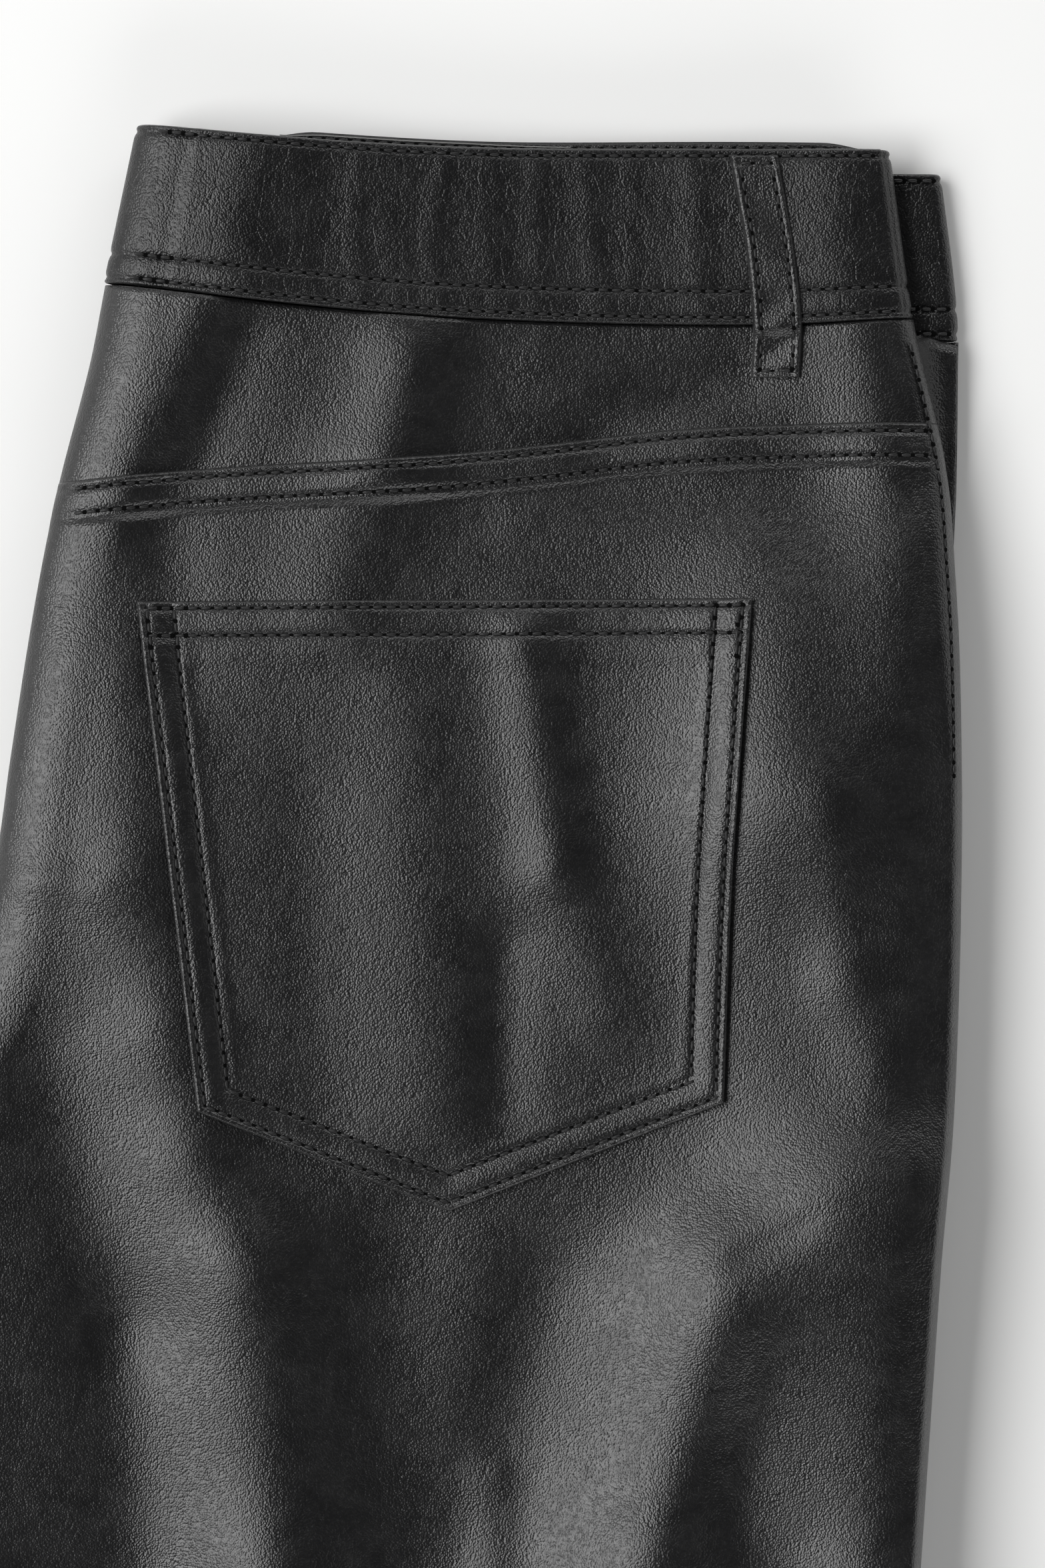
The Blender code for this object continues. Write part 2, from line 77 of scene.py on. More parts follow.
# The folded edges, as (down, x)
SEAT_EDGE = (
    (0, -50.8), (38, -58.7), (57, -62.4), (86, -69.8), (113, -75.2),
    (151, -81.2), (171, -84.0), (196, -89.0), (216, -97.0), (236, -110.0), (256, -128.0), (CROTCH, -145.0),
)
INSEAM_EDGE = (
    (CROTCH, -145.0), (292, -142.0), (322, -137.0), (392, -128.0), (472, -118.5),
    (560, -110.0), (690, -102.5), (860, -98.0), (LENGTH, -95.0),
)
SIDE_EDGE = (
    (0, 127.0), (20, 129.6), (46, 133.4), (67, 138.2), (86, 141.8), (105, 143.2), (124, 144.2), (152, 144.7),
    (174, 144.7), (208, 144.0), (239, 142.6), (269, 139.9), (294, 138.2), (342, 135.0),
    (440, 128.0), (560, 122.0), (700, 118.0), (860, 114.0), (LENGTH, 110.0),
)
UNDER_SIDE_EDGE = (
    (12, 140.5), (44, 144.3), (60, 144.4), (87, 144.0), (105, 143.2), (152, 143.0),
    (208, 142.0), (269, 137.5), (342, 133.0), (440, 128.5), (560, 124.5), (700, 120.5),
    (860, 115.0), (LENGTH, 108.5),
)
UNDER_INSEAM_SHIFT = ((CROTCH, 0.0), (330, 1.5), (440, 3.0), (600, -2.0), (800, -4.5), (LENGTH, -4.0))

# Lines across the upper half, as (x, down)
WAIST_TOP = ((-51, 0.2), (-20, 3.4), (27, 6.0), (80, 6.3), (128, 6.6))
BAND_BOTTOM = ((-59, 37.8), (-20, 42.6), (27, 46.5), (95, 48.1), (134, 46.4))
YOKE_SEAM = ((-70, 85.5), (-31, 82.0), (13, 79.6), (43, 76.8), (76, 73.0), (116, 71.4), (140, 71.4))

# Height of the whole stack, as (down, height)
STACK = (
    (47, 13.0), (80, 14.5), (130, 17.0), (272, 17.5), (360, 16.0), (560, 14.0), (800, 12.0), (LENGTH, 10.4),
)
HIGHEST = 30.9  # where the tallest folds are rounded off
FOLD_SCALE = 1.15  # makes all the folds taller together
# Height of each waistband layer at the seat seam and at the side seam
LAYER_HEIGHTS = {
    "left back": (1.2, 1.2),
    "underlap": (4.2, 4.2),
    "left front": (7.0, 5.0),
    "right front": (11.8, 8.0),
    "right back": (15.8, 12.2),
}

# The back pocket: its sides as (x, down) at the top and the bottom, and the tip of its lower edge
POCKET_LEFT = ((-50.6, 113.7), (-42.9, 176.8), (-36.1, 234.2))
POCKET_RIGHT = ((94.8, 113.0), (90.2, 176.8), (88.1, 232.1))
POCKET_TIP = (23.0, 258.0)
LOOP = ((95.5, 8.2), (97.5, 19.5), (99.5, 31.5), (101.0, 48.2), (100.6, 60.5))
LOOP_WIDTH = 11.6

# Soft folds of the leather: the crest from its first point to its last, as x and down, its half width and its
# height, which is below zero for a trough. "sharp" is above 1 where the fold is creased.
Fold = namedtuple("Fold", "x down width height sharp", defaults=(1.0,))
FOLDS = (
    # Yoke
    Fold((-34, -60), (40, 92), 12, 2.2),
    Fold((14, 10), (56, 78), 11, 2.3),
    Fold((46, 84), (58, 77), 9, 0.5),
    Fold((60, 92), (74, 60), 9, -1.0),
    Fold((122, 126), (50, 78), 12, 2.1),
    Fold((-26, -36), (50, 80), 7, -0.7),
    # Between the yoke seam and the pocket
    Fold((2, -4), (86, 112), 14, 1.4),
    Fold((-44, -40), (88, 130), 9, -0.8),
    Fold((40, 96), (94, 99), 6, 0.5),
    Fold((102, 103), (120, 160), 24, 4.7),
    Fold((104, 106), (160, 224), 25, 3.6),
    Fold((132, 132), (100, 212), 17, 4.2),
    Fold((113, 116), (160, 204), 8, 0.9),
    Fold((116, 124), (204, 226), 9, 0.7),
    # The long fold down the left of the pocket and of the leg
    Fold((-55, -52), (132, 180), 14, 1.6),
    Fold((-52, -44), (180, 215), 13, 1.2),
    Fold((-44, -38), (215, 245), 12, 1.2),
    Fold((-38, -25), (245, 272), 13, 1.4),
    Fold((-25, -17), (272, 346), 18, 3.4),
    Fold((-82, -73), (198, 179), 5, 0.8, 1.4),
    Fold((-73, -60), (179, 182), 5, 0.8, 1.4),
    Fold((-72, -53), (220, 286), 12, -1.3),
    Fold((-53, -49), (286, 350), 14, -1.9),
    Fold((-102, -96), (230, 350), 20, 2.2),
    # On the pocket
    Fold((-10, -6), (160, 236), 10, -0.5),
    Fold((12, 20), (136, 232), 12, 0.75),
    Fold((41, 48), (123, 176), 8, 1.5),
    Fold((50, 60), (176, 210), 9, 0.8),
    Fold((36, 36), (196, 232), 7, -1.0),
    Fold((57, 84), (154, 155), 2.2, -0.3),
    # The long fold that sweeps from the side down to the middle of the leg
    Fold((128, 110), (240, 256), 17, 1.8),
    Fold((108, 92), (256, 280), 21, 3.6),
    Fold((92, 72), (280, 346), 24, 6.0),
    Fold((133, 129), (254, 350), 21, 7.2),
    Fold((122, 106), (266, 346), 19, 3.2),
    Fold((46, 34), (276, 330), 13, -1.5),
    Fold((86, 72), (268, 334), 12, 1.3),
    Fold((12, 16), (266, 350), 16, -1.0),
    Fold((33, 33), (322, 352), 6, 1.0),
    Fold((92, 108), (268, 260), 3.5, -0.9, 1.3),
    Fold((98, 90), (290, 330), 8, -0.9),
    # Down the leg
    Fold((-18, -8), (346, 520), 18, 3.2),
    Fold((70, 42), (346, 540), 20, 4.0),
    Fold((122, 108), (350, 470), 16, 3.2),
    Fold((-96, -84), (350, 480), 16, 2.4),
    Fold((-60, 20), (560, 596), 12, 1.5),
    Fold((20, 90), (610, 580), 11, 1.4),
    Fold((-70, 10), (640, 652), 13, 1.2),
    Fold((-88, -36), (604, 632), 8, 1.8, 1.2),
    Fold((-66, 6), (672, 694), 7, 1.5, 1.2),
    Fold((100, 44), (640, 684), 8, 1.9, 1.2),
    Fold((98, 30), (716, 742), 9, 1.4),
    Fold((30, 14), (680, 920), 18, 2.6),
    Fold((-48, -62), (720, 960), 14, 2.2),
    Fold((80, 68), (740, 990), 12, 2.0),
    Fold((-84, -24), (770, 806), 10, 1.5),
    Fold((18, 92), (850, 812), 10, 1.4),
    Fold((-14, -2), (930, 1030), 14, 1.6),
)

# Upright wrinkles of the waistband: x, half width, height and how far they lean to the right at the bottom
Wrinkle = namedtuple("Wrinkle", "x width height lean")
BAND_WRINKLES = (
    Wrinkle(-27, 13, 2.0, -5),
    Wrinkle(-12, 3.6, 0.16, 3),
    Wrinkle(1, 2.6, 0.22, 1),
    Wrinkle(9, 3.4, 0.12, 4),
    Wrinkle(20, 2.4, 0.2, -2),
    Wrinkle(33, 4.0, 0.22, 3),
    Wrinkle(44, 2.2, 0.16, 1),
    Wrinkle(57, 3.0, 0.24, 5),
    Wrinkle(66, 2.2, 0.12, 0),
    Wrinkle(82, 3.6, 0.3, 3),
    Wrinkle(118, 14, 2.0, 2),
)


# ---------------------------------------------------------------- shape of the garment


def blend(low, high, at):
    """0 below low, 1 above high, and smooth between them."""
    t = np.clip((at - low) / (high - low), 0.0, 1.0)
    return t * t * (3 - 2 * t)


def mix(a, b, share):
    return a + (b - a) * share


def through(rows, at):
    """The smooth curve through (place, value) rows, held level past its ends."""
    places = np.array([row[0] for row in rows], float)
    values = np.array([row[1] for row in rows], float)
    slopes = np.diff(values) / np.diff(places)
    inner = (values[2:] - values[:-2]) / (places[2:] - places[:-2])
    tangents = np.concatenate([slopes[:1], inner, slopes[-1:]])
    at = np.clip(np.asarray(at, float), places[0], places[-1])
    i = np.clip(np.searchsorted(places, at, side="right") - 1, 0, len(places) - 2)
    span = places[i + 1] - places[i]
    t = (at - places[i]) / span
    return (
        values[i] * (1 + 2 * t) * (1 - t) ** 2
        + values[i + 1] * t * t * (3 - 2 * t)
        + span * (tangents[i] * t * (1 - t) ** 2 - tangents[i + 1] * t * t * (1 - t))
    )


def slip(x):
    """How much lower than the upper half the lower half lies."""
    return SLIP * blend(-60, 140, x)


def left_edge(down, under):
    legs = through(INSEAM_EDGE, down) + (through(UNDER_INSEAM_SHIFT, down) if under else 0.0)
    return np.where(down <= CROTCH, through(SEAT_EDGE, down), legs)


def right_edge(down, under):
    return through(UNDER_SIDE_EDGE if under else SIDE_EDGE, down)


def warp(row, x, under):
    """How far down a row is at x: rows follow the waist, the waistband's lower edge and the yoke seam."""
    drop = slip(x) if under else 0.0
    end = LENGTH if under else LENGTH - HEM_STEP
    stops = [
        (0.0, through(WAIST_TOP, x) + drop),
        (BAND_ROW, through(BAND_BOTTOM, x) + drop),
        (SEAM_ROW, through(YOKE_SEAM, x) + drop),
        (WARP_END, WARP_END),
        (LENGTH, end),
    ]
    down = row * 1.0
    for (low, start), (high, stop) in zip(stops, stops[1:]):
        inside = (row >= low) & (row <= high)
        down = np.where(inside, mix(start, stop, (row - low) / (high - low)), down)
    return down


def unwarp(x, down, under=False):
    """The row that passes through a point."""
    row = down * 1.0
    for _ in range(6):
        row = row + (down - warp(row, x, under))
    return row


def place_in_plan(row, share, under):
    """(x, down) of points at a share of the way from the left edge to the right edge, on a row."""
    down = row * 1.0
    for _ in range(6):
        x = mix(left_edge(down, under), right_edge(down, under), share)
        down = warp(row, x, under)
    return x, down


def away_from(x, down, start, end):
    """Distance from the line between two (x, down) points."""
    ax, ay = start
    bx, by = end[0] - ax, end[1] - ay
    t = np.clip(((x - ax) * bx + (down - ay) * by) / (bx * bx + by * by), 0.0, 1.0)
    return np.hypot(x - ax - t * bx, down - ay - t * by)


def relief(x, down):
    """The soft folds of the leather."""
    total = x * 0.0
    for fold in FOLDS:
        away = away_from(x, down, *zip(fold.x, fold.down))
        total = total + fold.height * np.exp(-((away / fold.width) ** (2 / fold.sharp)))
    return FOLD_SCALE * total


def loop_middle(down):
    return through([(d, x) for x, d in LOOP], down)


def loop_lift(x, down):
    """The left half's belt loop lies under the waistband and lifts what is above it."""
    return 2.3 * np.exp(-(((x - loop_middle(down - SLIP)) / 24) ** 2)) * (1 - blend(66, 96, down))


def top_lift(x, down):
    """What is left of that lift in the uppermost layer, which bridges it in a wide low swell."""
    return 1.1 * np.exp(-(((x - 118) / 48) ** 2)) * (1 - blend(66, 96, down))


def layer_height(layer, x, down):
    at_seat, at_side = LAYER_HEIGHTS[layer]
    if layer == "right back":
        return mix(at_seat, at_side, blend(-20, 75, x)) + top_lift(x, down)
    return mix(at_seat, at_side, blend(-10, 45, x)) + loop_lift(x, down)


def top_level(x, down):
    """Height of the upper face of the leather, not counting what lies on it."""
    at_waist = layer_height("right back", x, down)
    springy = through(STACK, down) + top_lift(x, down)
    level = mix(at_waist, springy, blend(BAND_ROW, WARP_END, down)) + relief(x, down)
    return HIGHEST - np.log1p(np.exp(HIGHEST - level))


def bottom_level(x, down):
    """Height of the lower face of the leather: flat on the surface, lifted by the pocket and the laps."""
    near_waist = 1 - blend(104, 128, down)
    over_pocket = blend(-95, -45, x) * (1 - blend(92, 140, x))
    over_pocket = over_pocket * blend(80, 115, down) * (1 - blend(250, 300, down))
    return np.maximum(LAP_RISE * near_waist, 1.5 * over_pocket) + loop_lift(x, down)


def fold_shape(down, side, under):
    """The rounded edge of one half on one side: height of its seam and its radius across."""
    near_waist = mix(13.0, through(STACK, WARP_END), blend(40, 130, down))
    stack = np.where(down > WARP_END, through(STACK, down), near_waist)
    if side == "left":
        legs = blend(CROTCH - 4, CROTCH + 28, down)
        share = mix(0.5, 0.25 if under else 0.75, legs)
        radius = mix(17.0, 7.0, legs)
    else:
        share = mix(0.36 if under else 0.66, 0.25 if under else 0.75, blend(90, 150, down))
        radius = mix(mix(7.0, 3.5, blend(110, 160, down)), 3.0, blend(560, 900, down))
    return stack * share + (-0.5 if under else 0.5) * GAP, radius


def outer_level(x, down, under):
    """Height of the outer face anywhere in the plan, rolled edges included."""
    out = -1.0 if under else 1.0
    level = bottom_level if under else top_level
    left, right = left_edge(down, under), right_edge(down, under)
    z = level(x, down)
    for side, edge, sign in (("left", left, -1.0), ("right", right, 1.0)):
        seam, radius = fold_shape(down, side, under)
        centre = edge - sign * radius
        past = np.clip((x - centre) * sign / radius, 0.0, 1.0)
        base = seam + out * 0.5
        rolled = base + (level(centre, down) - base) * np.sqrt(1 - past**2)
        z = np.where(past > 0, rolled, z)
    return z


def lap_profile(depth):
    """How far the folded edge at the yoke seam stands proud, by distance below that edge."""
    lip = np.sqrt(1 - (1 - np.clip(depth / 1.1, 0, 1)) ** 2)
    back = 1 - blend(LAP - 0.6, LAP + 3.0, depth)
    return LAP_RISE * (0.35 + 0.65 * lip) * back


def groove(away, width, deep):
    return -deep * np.exp(-((away / width) ** 2))


def yoke_seam_detail(x, down):
    """The lapped, twice stitched edge of the back panel under the yoke."""
    depth = down - through(YOKE_SEAM, x)
    first, second = PANEL_ROWS
    return lap_profile(depth) + groove(depth - first, 0.8, 0.5) + groove(depth - second, 0.85, 0.5)


def under_seam_detail(x, down):
    """The same edge on the lower half, which faces the floor and shows no stitching."""
    return lap_profile(down - through(YOKE_SEAM, x) - slip(x))


def panel_level(x, down):
    """Height of the upper back panel's outer face, its lapped edge included."""
    return outer_level(x, down, False) + yoke_seam_detail(x, down)


# ---------------------------------------------------------------- meshes


def new_object(name, mesh, material):
    obj = bpy.data.objects.new(name, mesh)
    bpy.context.scene.collection.objects.link(obj)
    obj.data.materials.append(material)
    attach(obj, "root")
    return obj


def surface_mesh(name, xs, downs, zs, material, closed=False, ends=False):
    """A grid mesh through arrays of x, down and height, whose columns run along their second axis."""
    rows, cols = xs.shape
    mesh = bmesh.new()
    bmesh.ops.create_grid(mesh, x_segments=cols - 1, y_segments=rows - 1, size=0.5)
    table = {}
    for vertex in mesh.verts:
        c = round((vertex.co.x + 0.5) * (cols - 1))
        r = rows - 1 - round((vertex.co.y + 0.5) * (rows - 1))
        table[c, r] = vertex
        vertex.co = Vector((xs[r, c], LENGTH / 2 - downs[r, c], zs[r, c])) * MM
    if closed:
        bmesh.ops.weld_verts(mesh, targetmap={table[cols - 1, r]: table[0, r] for r in range(rows)})
    if ends:
        for r in (0, rows - 1):
            mesh.faces.new([table[c, r] for c in range(cols - 1)])
        bmesh.ops.recalc_face_normals(mesh, faces=mesh.faces)
    data = bpy.data.meshes.new(name)
    mesh.to_mesh(data)
    mesh.free()
    data.shade_smooth()
    return new_object(name, data, material)


def thicken(obj, wall, offset):
    """Turns an open surface into one ply of leather with a wall."""
    solid = obj.modifiers.new("ply", "SOLIDIFY")
    solid.thickness = wall * MM
    solid.offset = offset
    solid.use_even_offset = False
    return obj


def spaced(start, stop, step, fine_start=(), fine_end=()):
    """Positions from start to stop, with extra ones at the given distances from each end."""
    first = start + (max(fine_start) if fine_start else 0.0)
    last = stop - (max(fine_end) if fine_end else 0.0)
    count = max(2, round((last - first) / step))
    middle = np.linspace(first, last, count + 1)
    near = [start + d for d in sorted(fine_start)[:-1]] if fine_start else []
    far = [stop - d for d in sorted(fine_end, reverse=True)[1:]] if fine_end else []
    return np.array(near + list(middle) + far)


def half_surface(name, rows, under, material, detail, flat_step=2.0, arc_steps=9):
    """A yoke or a back panel: its flat face and two rolled edges. detail adds height to the outer face."""
    out = -1.0 if under else 1.0
    count = round(205 / flat_step)
    flat = np.linspace(0.0, 1.0, count + 1)
    turn = np.linspace(0.0, 1.0, arc_steps + 1)[:-1]
    row = rows[:, None] * np.ones((1, 2 + 2 * arc_steps + count + 1))
    part = np.concatenate([[-2], -1 * np.ones(arc_steps), np.zeros(count + 1), np.ones(arc_steps), [2]])
    share = np.concatenate([[0.0], turn, flat, turn[::-1], [0.0]])
    xs, downs, zs = row * 0.0, row * 0.0, row * 0.0
    for side, sign in (("left", -1), ("right", 1)):
        _, down = place_in_plan(rows, 0.0 if side == "left" else 1.0, under)
        edge = left_edge(down, under) if side == "left" else right_edge(down, under)
        seam, radius = fold_shape(down, side, under)
        for c in np.nonzero(np.sign(part) == sign)[0]:
            angle = share[c] * math.pi / 2
            xs[:, c] = edge - sign * radius + sign * radius * math.cos(angle)
            downs[:, c] = warp(rows, xs[:, c], under)
            zs[:, c] = seam if abs(part[c]) == 2 else 0.0
        if side == "left":
            start = edge + radius
        else:
            stop = edge - radius
    for c in np.nonzero(part == 0)[0]:
        x = mix(start, stop, share[c])
        for _ in range(2):
            down = warp(rows, x, under)
            left = left_edge(down, under) + fold_shape(down, "left", under)[1]
            right = right_edge(down, under) - fold_shape(down, "right", under)[1]
            x = mix(left, right, share[c])
        xs[:, c], downs[:, c] = x, warp(rows, x, under)
    level = outer_level(xs, downs, under) + out * detail(xs, downs)
    edge_columns = np.abs(part) == 2
    zs = np.where(edge_columns[None, :], zs, level)
    if under:
        zs = np.maximum(zs, 0.0)
    obj = surface_mesh(name, xs, downs, zs, material)
    return thicken(obj, WALL, -1.0 if not under else 1.0)


# ---------------------------------------------------------------- stitching


def along_path(points, pitch):
    """Evenly spaced places on a line through (x, down) points, each with its direction."""
    points = np.array(points, float)
    lengths = np.hypot(*np.diff(points, axis=0).T)
    reach = np.concatenate([[0.0], np.cumsum(lengths)])
    count = max(1, int(reach[-1] / pitch))
    at = (np.arange(count) + 0.5) * reach[-1] / count
    x = np.interp(at, reach, points[:, 0])
    down = np.interp(at, reach, points[:, 1])
    ahead_x = np.interp(at + 0.5, reach, points[:, 0]) - np.interp(at - 0.5, reach, points[:, 0])
    ahead_down = np.interp(at + 0.5, reach, points[:, 1]) - np.interp(at - 0.5, reach, points[:, 1])
    return x, down, ahead_x, ahead_down


def stitch_mesh(name, seams, material, hole_shade, pitch, thread=0.9):
    """The thread of several seams in one piece, with a flat, near black disc between each two stitches:
    painted shade where the needle holes lie.

    Each seam is a path and the function for the height of what it is sewn to.
    """
    bead = bmesh.new()
    lying = Matrix.Rotation(math.pi / 2, 4, "Y")
    bmesh.ops.create_uvsphere(bead, u_segments=8, v_segments=6, radius=1.0, matrix=lying)
    bead.verts.index_update()
    shape = np.array([v.co for v in bead.verts])
    shape[:, 0] = np.sign(shape[:, 0]) * np.abs(shape[:, 0]) ** 0.7
    faces = [[v.index for v in f.verts] for f in bead.faces]
    bead.free()
    lengths = {"stitch": (pitch * 0.38, thread * 0.5, thread * 0.42), "hole_shade": (0.6, 0.58, 0.12)}
    points, sides, finish = [], [], []
    for path, level in seams:
        x, down, dx, dd = along_path(path, pitch)
        size = np.hypot(dx, dd) + 1e-9
        dx, dd = dx / size, dd / size
        z = level(x, down)
        slope = (level(x + dx, down + dd) - level(x - dx, down - dd)) / 2
        lean = (level(x - dd, down + dx) - level(x + dd, down - dx)) / 2
        for i in range(len(x)):
            along = Vector((dx[i], -dd[i], slope[i])).normalized()
            side = Vector((-dd[i], -dx[i], lean[i]))
            side = (side - along * side.dot(along)).normalized()
            up = side.cross(along).normalized()
            if up.z < 0:
                up = -up
            turn = np.array((along, side, up))
            centre = np.array((x[i], LENGTH / 2 - down[i], z[i]))
            # The second bead of each stitch is a flat, near black disc: painted shade where the needle holes
            # lie.
            for part, shift, raised in (("stitch", 0.0, 0.08), ("hole_shade", pitch / 2, 0.0)):
                sides.extend([k + len(points) * len(shape) for k in face] for face in faces)
                finish.extend([0 if part == "stitch" else 1] * len(faces))
                points.append((shape * lengths[part]) @ turn + centre + turn[0] * shift + turn[2] * raised)
    data = bpy.data.meshes.new(name)
    data.from_pydata(np.concatenate(points) * MM, [], sides)
    data.shade_smooth()
    obj = new_object(name, data, material)
    data.materials.append(hole_shade)
    data.polygons.foreach_set("material_index", finish)
    return obj


# ---------------------------------------------------------------- materials


def linear(hex_colour):
    """An sRGB hex colour as linear red, green, blue and alpha."""
    parts = [int(hex_colour[i : i + 2], 16) / 255 for i in (1, 3, 5)]
    return (*[p / 12.92 if p <= 0.04045 else ((p + 0.055) / 1.055) ** 2.4 for p in parts], 1.0)


def add_node(tree, kind, settings=None, inputs=None):
    """Adds a node, sets its properties, and sets or links its inputs."""
    node = tree.nodes.new(kind)
    for key, value in (settings or {}).items():
        setattr(node, key, value)
    plug(tree, node, inputs or {})
    return node


def plug(tree, node, inputs):
    """Links each named input to a socket, or sets it to a value."""
    for key, value in inputs.items():
        if isinstance(value, bpy.types.NodeSocket):
            tree.links.new(value, node.inputs[key])
        else:
            node.inputs[key].default_value = value


def new_material(name):
    """A new material, with its node tree, its shader and the object's own coordinates to draw patterns by."""
    material = bpy.data.materials.new(name)
    material.use_nodes = True
    tree = material.node_tree
    place = add_node(tree, "ShaderNodeTexCoord").outputs["Object"]
    return material, tree, tree.nodes["Principled BSDF"], place


def nappa_leather(name, colour, worn, grain_mm, roughness, creases, shine=0.7, crack_mm=1.5, crack=0.2):
    """Sheep nappa, drum dyed black and lightly finished.

    A smooth, slightly waxy face: fine pebbled grain under a millimetre across, faint creases where it has
    been folded, and a broad soft shine that varies a little from place to place.
    """
    material, tree, shader, place = new_material(name)
    drift = add_node(
        tree, "ShaderNodeTexNoise", inputs={"Vector": place, "Scale": 1000 / (grain_mm * 6), "Detail": 2.0}
    )
    bent = add_node(
        tree,
        "ShaderNodeMixRGB",
        {"blend_type": "LINEAR_LIGHT"},
        {"Fac": grain_mm * 0.0008, "Color1": place, "Color2": drift.outputs["Color"]},
    )
    pebbles = add_node(
        tree,
        "ShaderNodeTexVoronoi",
        {"feature": "F1"},
        {"Vector": bent.outputs["Color"], "Scale": 1000 / grain_mm, "Randomness": 0.9},
    )
    drawn = add_node(
        tree,
        "ShaderNodeMapping",
        inputs={"Vector": bent.outputs["Color"], "Scale": (1.0, 0.6, 1.0), "Rotation": (0, 0, 0.15)},
    )
    cracks = add_node(
        tree,
        "ShaderNodeTexVoronoi",
        {"feature": "DISTANCE_TO_EDGE"},
        {"Vector": drawn.outputs["Vector"], "Scale": 1000 / crack_mm, "Randomness": 1.0},
    )
    valleys = add_node(
        tree,
        "ShaderNodeMapRange",
        inputs={"Value": cracks.outputs["Distance"], "From Min": 0.0, "From Max": 0.18 / crack_mm},
    )
    soft = add_node(
        tree,
        "ShaderNodeTexNoise",
        inputs={"Vector": place, "Scale": 1000 / 9.0, "Detail": 3.0, "Roughness": 0.55, "Distortion": 0.6},
    )
    broad = add_node(
        tree,
        "ShaderNodeTexNoise",
        inputs={"Vector": place, "Scale": 1000 / 60.0, "Detail": 2.0, "Roughness": 0.5},
    )
    tint = add_node(
        tree, "ShaderNodeMapRange", inputs={"Value": broad.outputs["Fac"], "From Min": 0.35, "From Max": 0.65}
    )
    shade = add_node(
        tree,
        "ShaderNodeMixRGB",
        {"blend_type": "MIX"},
        {"Fac": tint.outputs["Result"], "Color1": linear(colour), "Color2": linear(worn)},
    )
    gloss = add_node(
        tree,
        "ShaderNodeMapRange",
        inputs={
            "Value": soft.outputs["Fac"], "From Min": 0.3, "From Max": 0.7,
            "To Min": roughness - 0.04, "To Max": roughness + 0.05,
        },
    )
    folds = add_node(
        tree,
        "ShaderNodeBump",
        inputs={"Strength": creases, "Distance": 0.0012, "Height": soft.outputs["Fac"]},
    )
    network = add_node(
        tree,
        "ShaderNodeBump",
        inputs={
            "Strength": crack, "Distance": 0.00006 * crack_mm / 1.5, "Height": valleys.outputs["Result"],
            "Normal": folds.outputs["Normal"],
        },
    )
    grain = add_node(
        tree,
        "ShaderNodeBump",
        {"invert": True},
        {
            "Strength": 0.8, "Distance": 0.00016, "Height": pebbles.outputs["Distance"],
            "Normal": network.outputs["Normal"],
        },
    )
    plug(tree, shader, {
        "Base Color": shade.outputs["Color"], "Roughness": gloss.outputs["Result"],
        "Normal": grain.outputs["Normal"], "IOR": 1.5, "Specular IOR Level": shine, "Metallic": 0.0,
        "Sheen Weight": 0.04, "Sheen Roughness": 0.5,
    })
    return material


def sewing_thread(name, colour):
    """Bonded polyester thread, three plies twisted: a fine slanted rope pattern with a low shine."""
    material, tree, shader, place = new_material(name)
    plies = add_node(
        tree,
        "ShaderNodeTexWave",
        {"wave_type": "BANDS", "bands_direction": "DIAGONAL"},
        {"Vector": place, "Scale": 1000 / 2.4, "Distortion": 0.4},
    )
    twist = add_node(
        tree, "ShaderNodeBump", inputs={"Strength": 0.5, "Distance": 0.0001, "Height": plies.outputs["Color"]}
    )
    plug(tree, shader, {
        "Base Color": linear(colour), "Roughness": 0.55, "IOR": 1.5, "Normal": twist.outputs["Normal"],
    })
    return material


def needle_hole_painted_shade(name, colour):
    """Painted shade for the needle holes: a near black, matt colour without shine for the dent where the
    needle went through and the thread pulls the leather in, which lies in shade.
    """
    material, tree, shader, place = new_material(name)
    fibres = add_node(
        tree, "ShaderNodeTexNoise", inputs={"Vector": place, "Scale": 1000 / 0.3, "Detail": 1.0}
    )
    dent = add_node(
        tree, "ShaderNodeBump", inputs={"Strength": 0.4, "Distance": 0.0001, "Height": fibres.outputs["Fac"]}
    )
    plug(tree, shader, {
        "Base Color": linear(colour), "Roughness": 0.95, "Specular IOR Level": 0.1,
        "Normal": dent.outputs["Normal"],
    })
    return material


def cut_edge(name, colour):
    """The raw cut edge of the leather: fibrous, grey and matt where the dye did not reach."""
    material, tree, shader, place = new_material(name)
    fibres = add_node(
        tree, "ShaderNodeTexNoise", inputs={"Vector": place, "Scale": 1000 / 0.5, "Detail": 3.0}
    )
    tufts = add_node(
        tree, "ShaderNodeBump", inputs={"Strength": 0.6, "Distance": 0.0002, "Height": fibres.outputs["Fac"]}
    )
    plug(tree, shader, {"Base Color": linear(colour), "Roughness": 0.85, "Normal": tufts.outputs["Normal"]})
    return material


def polished_horn(name, colour):
    """A button of dyed horn, turned and polished: near black with faint layers and a clean shine."""
    material, tree, shader, place = new_material(name)
    layers = add_node(
        tree, "ShaderNodeTexNoise", inputs={"Vector": place, "Scale": 1000 / 4.0, "Detail": 2.0}
    )
    shade = add_node(
        tree,
        "ShaderNodeMixRGB",
        inputs={"Fac": layers.outputs["Fac"], "Color1": linear(colour), "Color2": linear("#2A2623")},
    )
    plug(tree, shader, {"Base Color": shade.outputs["Color"], "Roughness": 0.25, "IOR": 1.54})
    return material


def studio_floor(name, colour):
    """Seamless white paper, matt and slightly uneven in tone."""
    material, tree, shader, place = new_material(name)
    tone = add_node(tree, "ShaderNodeTexNoise", inputs={"Vector": place, "Scale": 3.0, "Detail": 1.0})
    shade = add_node(
        tree,
        "ShaderNodeMixRGB",
        inputs={"Fac": tone.outputs["Fac"], "Color1": linear(colour), "Color2": linear("#FAFAF9")},
    )
    plug(tree, shader, {"Base Color": shade.outputs["Color"], "Roughness": 0.9})
    return material


# ---------------------------------------------------------------- settings


